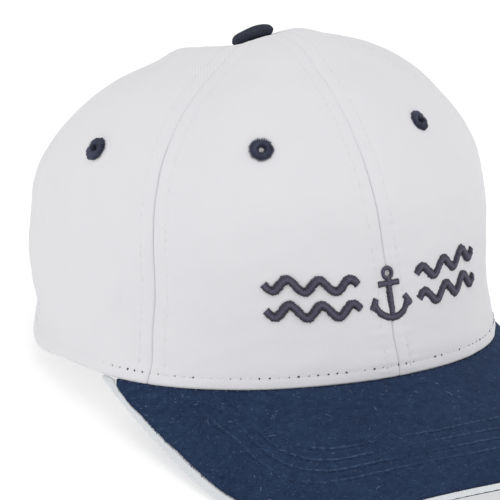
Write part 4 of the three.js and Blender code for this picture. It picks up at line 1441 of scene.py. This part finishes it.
def make_trim():
    """The white strip between the covers: a flat band, raised where it stands out past them, with a rounded
    outer edge that is pinched a little at each stitch. Past the covers' ends it rises to lie just under the
    rim, and its inner side is tucked in under the crown's wall."""
    u = np.linspace(-PEAK_END, PEAK_END, TRIM_COLUMNS)
    lines = peak_lines(u)
    covered = smoothstep(lines["navy"], -4, 1)
    top = ((TOP_COVER_THICK + GAP) * covered)[:, None]
    raised = top - (TRIM_LIFT * covered)[:, None]
    seat = np.maximum(lines["navy"] - TRIM_SEAT / lines["slant"], 0) + 0.2 + GAP / lines["slant"]
    past = smoothstep(np.abs(u), COVER_REACH + 0.002, COVER_REACH + 0.012)
    inner = (seat * (1 - past) - TRIM_TUCK * past)[:, None]
    length = lines["length"][:, None]
    step = np.maximum((lines["navy"] + 0.15 / lines["slant"])[:, None], inner + 0.1)
    half = TRIM_THICK / 2
    last = np.maximum(length - half, step + 0.1)
    run = length_along(peak_point(lines, length, 0 * length)[:, 0])[:, None]
    pinch = 0.09 * np.cos(2 * np.pi * run / JOIN_PITCH)
    hidden = np.linspace(0, 1, 3, endpoint=False)[None, :]
    shown = np.linspace(0, 1, 9)[None, :]
    turn = np.linspace(-np.pi / 2, np.pi / 2, 9)[None, 1:-1]
    face = np.concatenate([inner + (step - inner) * hidden, step + (last - step) * shown], 1)
    rise = np.concatenate([0 * hidden, smoothstep(shown, 0, 0.3) + 0.14 * np.sin(np.pi * shown)], 1)
    level = top + (raised - top) * rise
    edge = last + (length - last) * np.cos(turn)
    edge_level = raised + half + half * np.sin(turn)
    out = np.concatenate([face, edge, face[:, ::-1]], 1)
    down = np.concatenate([level, edge_level, (level + TRIM_THICK)[:, ::-1]], 1)
    out = out + pinch * smoothstep(out, length - 2, length)
    loops = peak_point(lines, out, down)
    uv = np.stack([np.broadcast_to(run, out.shape), out], -1)
    loop_piece("white_edge_strip", loops, uv, TRIM_CLOTH, ["peak_edge_trim"], sharp=60)


def face_of_peak(lines, out, down=0.0):
    """Points on the upper face and the face's normals there, by steps out and along the lines."""
    points = peak_point(lines, out, 0 * out + down)
    outwards = peak_point(lines, out + 0.5, 0 * out + down) - points
    around = np.gradient(points[:, 0], axis=0)[:, None, :]
    normals = unit(np.cross(outwards, around))
    normals = normals * np.sign(normals[..., 2:3])
    return points[:, 0], normals[:, 0]


def make_peak_stitching():
    """Navy rows on both faces of the peak, navy threads over the cover's edge on the white strip, and pale
    threads where the crown is sewn on."""
    lines = peak_lines(np.linspace(-COVER_REACH, COVER_REACH, 1600))
    top, under = [], []
    for number, row in enumerate(PEAK_ROWS):
        out = lines["length"] - row_reach(lines["u"], row)
        clear = out > 5
        points, normals = face_of_peak(lines, out[:, None], PEAK_ROW_DEPTH * 0.5)
        top.append(sewn_row(
            points[clear], normals[clear], PEAK_PITCH, 1.1, 90 + number, lift=0.14, uneven=0.14,
        ))
        points, normals = face_of_peak(lines, out[:, None], PEAK_THICK - PEAK_ROW_DEPTH * 0.8)
        under.append(sewn_row(points[clear], -normals[clear], PEAK_PITCH, 0.7, 94 + number, lift=0.05))
    stitch_piece("peak_rows_top", top, NAVY_THREAD)
    stitch_piece("peak_rows_underside", under, NAVY_THREAD)
    edge = lines["navy"][:, None]
    ticks = crossing_threads(
        lines, edge, inwards=0.5, outwards=0.45, high=0.3, low=0.42, radius=0.13, seed=98,
    )
    stitch_piece("peak_edge_stitching", [ticks], NAVY_THREAD)
    join = crossing_threads(
        lines, 0 * edge, inwards=0.2, outwards=0.45, high=-0.15, low=0.06, radius=0.06, seed=99,
    )
    stitch_piece("peak_join_stitching", [join], LINT)


def make_edge_nap():
    """Fibres of the navy cloth's cut edge that lie out over the white strip, each at a random place, length
    and lean."""
    count = NAP_COUNT
    random = np.random.default_rng(130)
    u = random.uniform(-1, 1, count) * COVER_REACH
    lines = peak_lines(u)
    out = lines["navy"] - random.uniform(0.0, 0.35, count)
    aside = peak_lines(u + random.uniform(-0.004, 0.004, count))
    reach = random.gamma(2.2, 0.24, count)
    start = peak_point(lines, out[:, None], np.full((count, 1), 0.36))[:, 0]
    stop = peak_point(aside, (aside["navy"] + reach)[:, None], random.uniform(0.3, 0.42, (count, 1)))[:, 0]
    upward = np.tile([0.0, 0.0, 1.0], (count, 1))
    threads = stitch_points(start, stop, upward, random.uniform(0.05, 0.1, count), 0.06)
    stitch_piece("peak_edge_nap", [threads], NAVY_THREAD)


def crossing_threads(lines, out, inwards, outwards, high, low, radius, seed):
    """Short threads across a line of the peak: from inwards before it, at depth high, to outwards past it,
    at depth low."""
    points, normals = face_of_peak(lines, out)
    run = length_along(points)
    random = np.random.default_rng(seed)
    count = int(run[-1] / JOIN_PITCH)
    s = (np.arange(count) + 0.5 + random.uniform(-0.08, 0.08, count)) * JOIN_PITCH
    column = np.arange(len(run))
    place = np.interp(s, run, column)
    picked = peak_lines(np.interp(place, column, lines["u"]))
    middle = np.interp(place, column, out[:, 0])[:, None]
    before = middle - inwards * random.uniform(0.6, 1.2, (count, 1))
    past = middle + outwards * random.uniform(0.6, 1.3, (count, 1))
    start = peak_point(picked, before, high + 0 * middle)[:, 0]
    stop = peak_point(picked, past, low + 0 * middle)[:, 0]
    return stitch_points(start, stop, between(place, column, normals), radius, 0.15)


def make_lint():
    """Specks and fibres of lint on the navy cloth: short thin threads at random places and turns."""
    count = LINT_COUNT
    random = np.random.default_rng(120)
    lines = peak_lines(random.uniform(-0.93, 0.93, count) * COVER_REACH)
    out = (lines["navy"] * random.uniform(0.04, 0.96, count))[:, None]
    lifted = np.full((count, 1), -0.03)
    middle = peak_point(lines, out, lifted)[:, 0]
    ahead = unit(peak_point(lines, out + 1, lifted)[:, 0] - middle)
    aside = unit(np.cross(ahead, [0, 0, 1.0]))
    normal = unit(np.cross(aside, ahead))
    turn = random.uniform(0, np.pi, count)[:, None]
    half = (ahead * np.cos(turn) + aside * np.sin(turn)) * random.gamma(2.0, 0.22, (count, 1))
    threads = stitch_points(middle - half, middle + half, normal, random.uniform(0.03, 0.075, count), 0.08)
    stitch_piece("peak_lint", [threads], LINT)


# Embroidery

def satin_strip(path, width, seed):
    """A line of satin stitches along a flat path of (along, up) points: a domed strip whose surface is
    ridged across at each thread and whose edges are ragged from thread to thread."""
    run = length_along(path)
    count = max(int(run[-1] / SATIN_PITCH * 6), 12)
    s = np.linspace(0, run[-1], count)
    centre = between(s, run, path)
    ahead = unit(np.gradient(centre, axis=0))
    side = np.stack([-ahead[:, 1], ahead[:, 0]], -1)
    random = np.random.default_rng(seed)
    threads = int(run[-1] / SATIN_PITCH) + 2
    number = np.floor(s / SATIN_PITCH).astype(int)
    ridge = np.abs(np.sin(np.pi * s / SATIN_PITCH))
    reach = 0.9 + 0.18 * ridge + random.normal(0, 0.06, (2, threads))[:, number]
    rise = 1 + random.normal(0, 0.06, threads)[number]
    share = np.sin(np.linspace(-np.pi / 2, np.pi / 2, 13))[None, :]
    half = np.where(share < 0, reach[0][:, None], reach[1][:, None]) * width / 2
    taper = np.sqrt(np.clip(np.minimum(s, run[-1] - s) / (0.45 * width), 0.02, 1))
    flat = centre[:, None, :] + side[:, None, :] * (share * half)[..., None]
    dome = np.sqrt(np.clip(1 - 0.93 * share ** 2, 0, 1)) * (0.55 + 0.45 * taper)[:, None]
    height = 0.06 + (STITCH_HEIGHT - 0.06) * dome * rise[:, None] + 0.2 * (ridge[:, None] - 0.6) * dome
    angle = np.degrees(flat[..., 0] / MOTIF_RADIUS)
    t = MOTIF_T + flat[..., 1] / MOTIF_PER_T
    uv = np.stack([np.broadcast_to(s[:, None], height.shape), share * half], -1)
    surface = crown_inside(angle, t, 0.0)
    normal = crown_normal(angle, t)
    outer = surface + normal * np.maximum(height, 0.12)[..., None]
    inner = surface + normal * 0.04
    return outer, inner, uv


def embroidery_piece(name, strips, node):
    """Joins satin strips into one piece."""
    all_points, all_faces, all_uv, offset = [], [], [], 0
    for path, width, seed in strips:
        outer, inner, uv = satin_strip(path, width, seed)
        points, faces, used = shell(outer, inner)
        all_points.append(points)
        all_faces.append(faces[0] + offset)
        all_uv.append(np.tile(uv.reshape(-1, 2), (2, 1))[used])
        offset += len(points)
    points, faces, uv = np.concatenate(all_points), np.concatenate(all_faces), np.concatenate(all_uv)
    new_piece(name, points, [faces], uv, MOTIF_THREAD, [node], sharp=75)


def arc(centre, radius, start, stop):
    """Part of a circle in the motif's plane, between two angles in degrees."""
    turn = np.radians(np.linspace(start, stop, 60))
    return np.stack([centre[0] + radius * np.cos(turn), centre[1] + radius * np.sin(turn)], -1)


def straight(a, b):
    """A straight line in the motif's plane."""
    a, b = np.array(a, float), np.array(b, float)
    return a + (b - a) * np.linspace(0, 1, 20)[:, None]


def make_embroidery():
    """An anchor, with ring, shank, stock, arms and flukes, between two pairs of waves."""
    half = MOTIF_HALF
    strips = [
        (arc((0, half - 2.6), 1.9, -65, 245), 1.5, 200),
        (straight((0, -half + 1.2), (0, half - 3.9)), 2.6, 201),
        (straight((-4.6, half - 6.4), (4.6, half - 6.4)), 2.2, 202),
        (arc((0, -half + 8.4), 7.4, 194, 346), 2.6, 203),
        (straight((-8.6, -half + 4.4), (-6.2, -half + 8.4)), 2.4, 204),
        (straight((8.6, -half + 4.4), (6.2, -half + 8.4)), 2.4, 205),
    ]
    embroidery_piece("stitched_anchor", strips, "front_anchor")
    share = np.linspace(0, 1, 400)
    seed = 210
    for word, side in (("right", -1), ("left", 1)):
        for level, lift in (("upper", WAVE_LIFT), ("lower", -WAVE_LIFT)):
            up = lift + WAVE_RISE * np.sin(share * WAVE_COUNT * 2 * np.pi)
            path = np.stack([side * (WAVE_START + share * WAVE_LENGTH), up], -1)
            wave = f"wave_{level}_{word}"
            embroidery_piece("stitched_" + wave, [(path, STITCH_WIDTH, seed)], "front_" + wave)
            seed += 1


# Stage

def make_floor():
    """A wide pale floor of backlit paper, so that shadows on it stay faint."""
    finish = Finish("floor_paper")
    tone = finish.noise(3.0, 2.0)
    colour = finish.mix(tone, linear(177, 177, 177), linear(179, 179, 179))
    glow = linear(255, 255, 255)
    material = finish.surface(colour, Roughness=0.95, Emission_Color=glow, Emission_Strength=FLOOR_GLOW)
    mesh = bpy.data.meshes.new("floor")
    half = FLOOR_HALF
    corners = [(-half, -half, 0), (half, -half, 0), (half, half, 0), (-half, half, 0)]
    mesh.from_pydata(corners, [], [(0, 1, 2, 3)])
    mesh.materials.append(material)
    floor = bpy.data.objects.new("floor", mesh)
    bpy.context.scene.collection.objects.link(floor)


def make_light(name, place, size, power):
    """A square soft light that faces the cap."""
    light = bpy.data.lights.new(name, "AREA")
    light.shape = "SQUARE"
    light.size = size
    light.energy = power
    lamp = bpy.data.objects.new(name, light)
    bpy.context.scene.collection.objects.link(lamp)
    lamp.location = place
    lamp.rotation_euler = (Vector(LIGHT_AIM) - Vector(place)).to_track_quat("-Z", "Y").to_euler()


def make_lights():
    """The soft lights, a white world round them, and a plain view of the colours."""
    world = bpy.data.worlds.new("studio")
    world.use_nodes = True
    background = world.node_tree.nodes["Background"]
    background.inputs["Color"].default_value = (1, 1, 1, 1)
    background.inputs["Strength"].default_value = WORLD_STRENGTH
    bpy.context.scene.world = world
    for light in LIGHTS:
        make_light(**light)
    scene = bpy.context.scene
    scene.view_settings.view_transform = "Standard"
    scene.view_settings.look = "None"
    scene.view_settings.exposure = 0.0


def make_camera():
    """The camera: its directions are worked out in the cap's frame and turned with the cap."""
    a, e, r = CAMERA_AZIMUTH, CAMERA_ELEVATION, CAMERA_ROLL
    back = np.array([np.sin(a) * np.cos(e), -np.cos(a) * np.cos(e), np.sin(e)])
    right = np.array([np.cos(a), np.sin(a), 0])
    up = np.cross(back, right)
    tilted_right = right * np.cos(r) + up * np.sin(r)
    tilted_up = up * np.cos(r) - right * np.sin(r)
    place = tilted_right * CAMERA_ASIDE + tilted_up * CAMERA_UP + back * CAMERA_DISTANCE
    cos, sin = np.cos(REST_PITCH), np.sin(REST_PITCH)
    tip = np.array([[1, 0, 0], [0, cos, sin], [0, -sin, cos]])
    place = (tip @ place + [0, REST_SHIFT, REST_LIFT]) / 1000
    turn = tip @ np.stack([tilted_right, tilted_up, back], -1)
    matrix = np.eye(4)
    matrix[:3, :3] = turn
    matrix[:3, 3] = place
    data = bpy.data.cameras.new("camera")
    data.sensor_width = SENSOR
    data.lens = SENSOR * CAMERA_DISTANCE / FRAME_WIDTH
    data.clip_start = 0.1
    data.clip_end = 50
    camera = bpy.data.objects.new("camera", data)
    bpy.context.scene.collection.objects.link(camera)
    camera.matrix_world = Matrix(matrix.tolist())
    bpy.context.scene.camera = camera


for panel in PANELS:
    make_panel(panel)
make_crown_stitching()
make_sweatband()
make_strap()
for number, eyelet in enumerate(EYELETS):
    make_eyelet(eyelet, 100 + number)
make_button()
make_top_cover()
make_under_cover()
make_trim()
make_peak_stitching()
make_edge_nap()
make_lint()
make_embroidery()
make_floor()
make_lights()
make_camera()
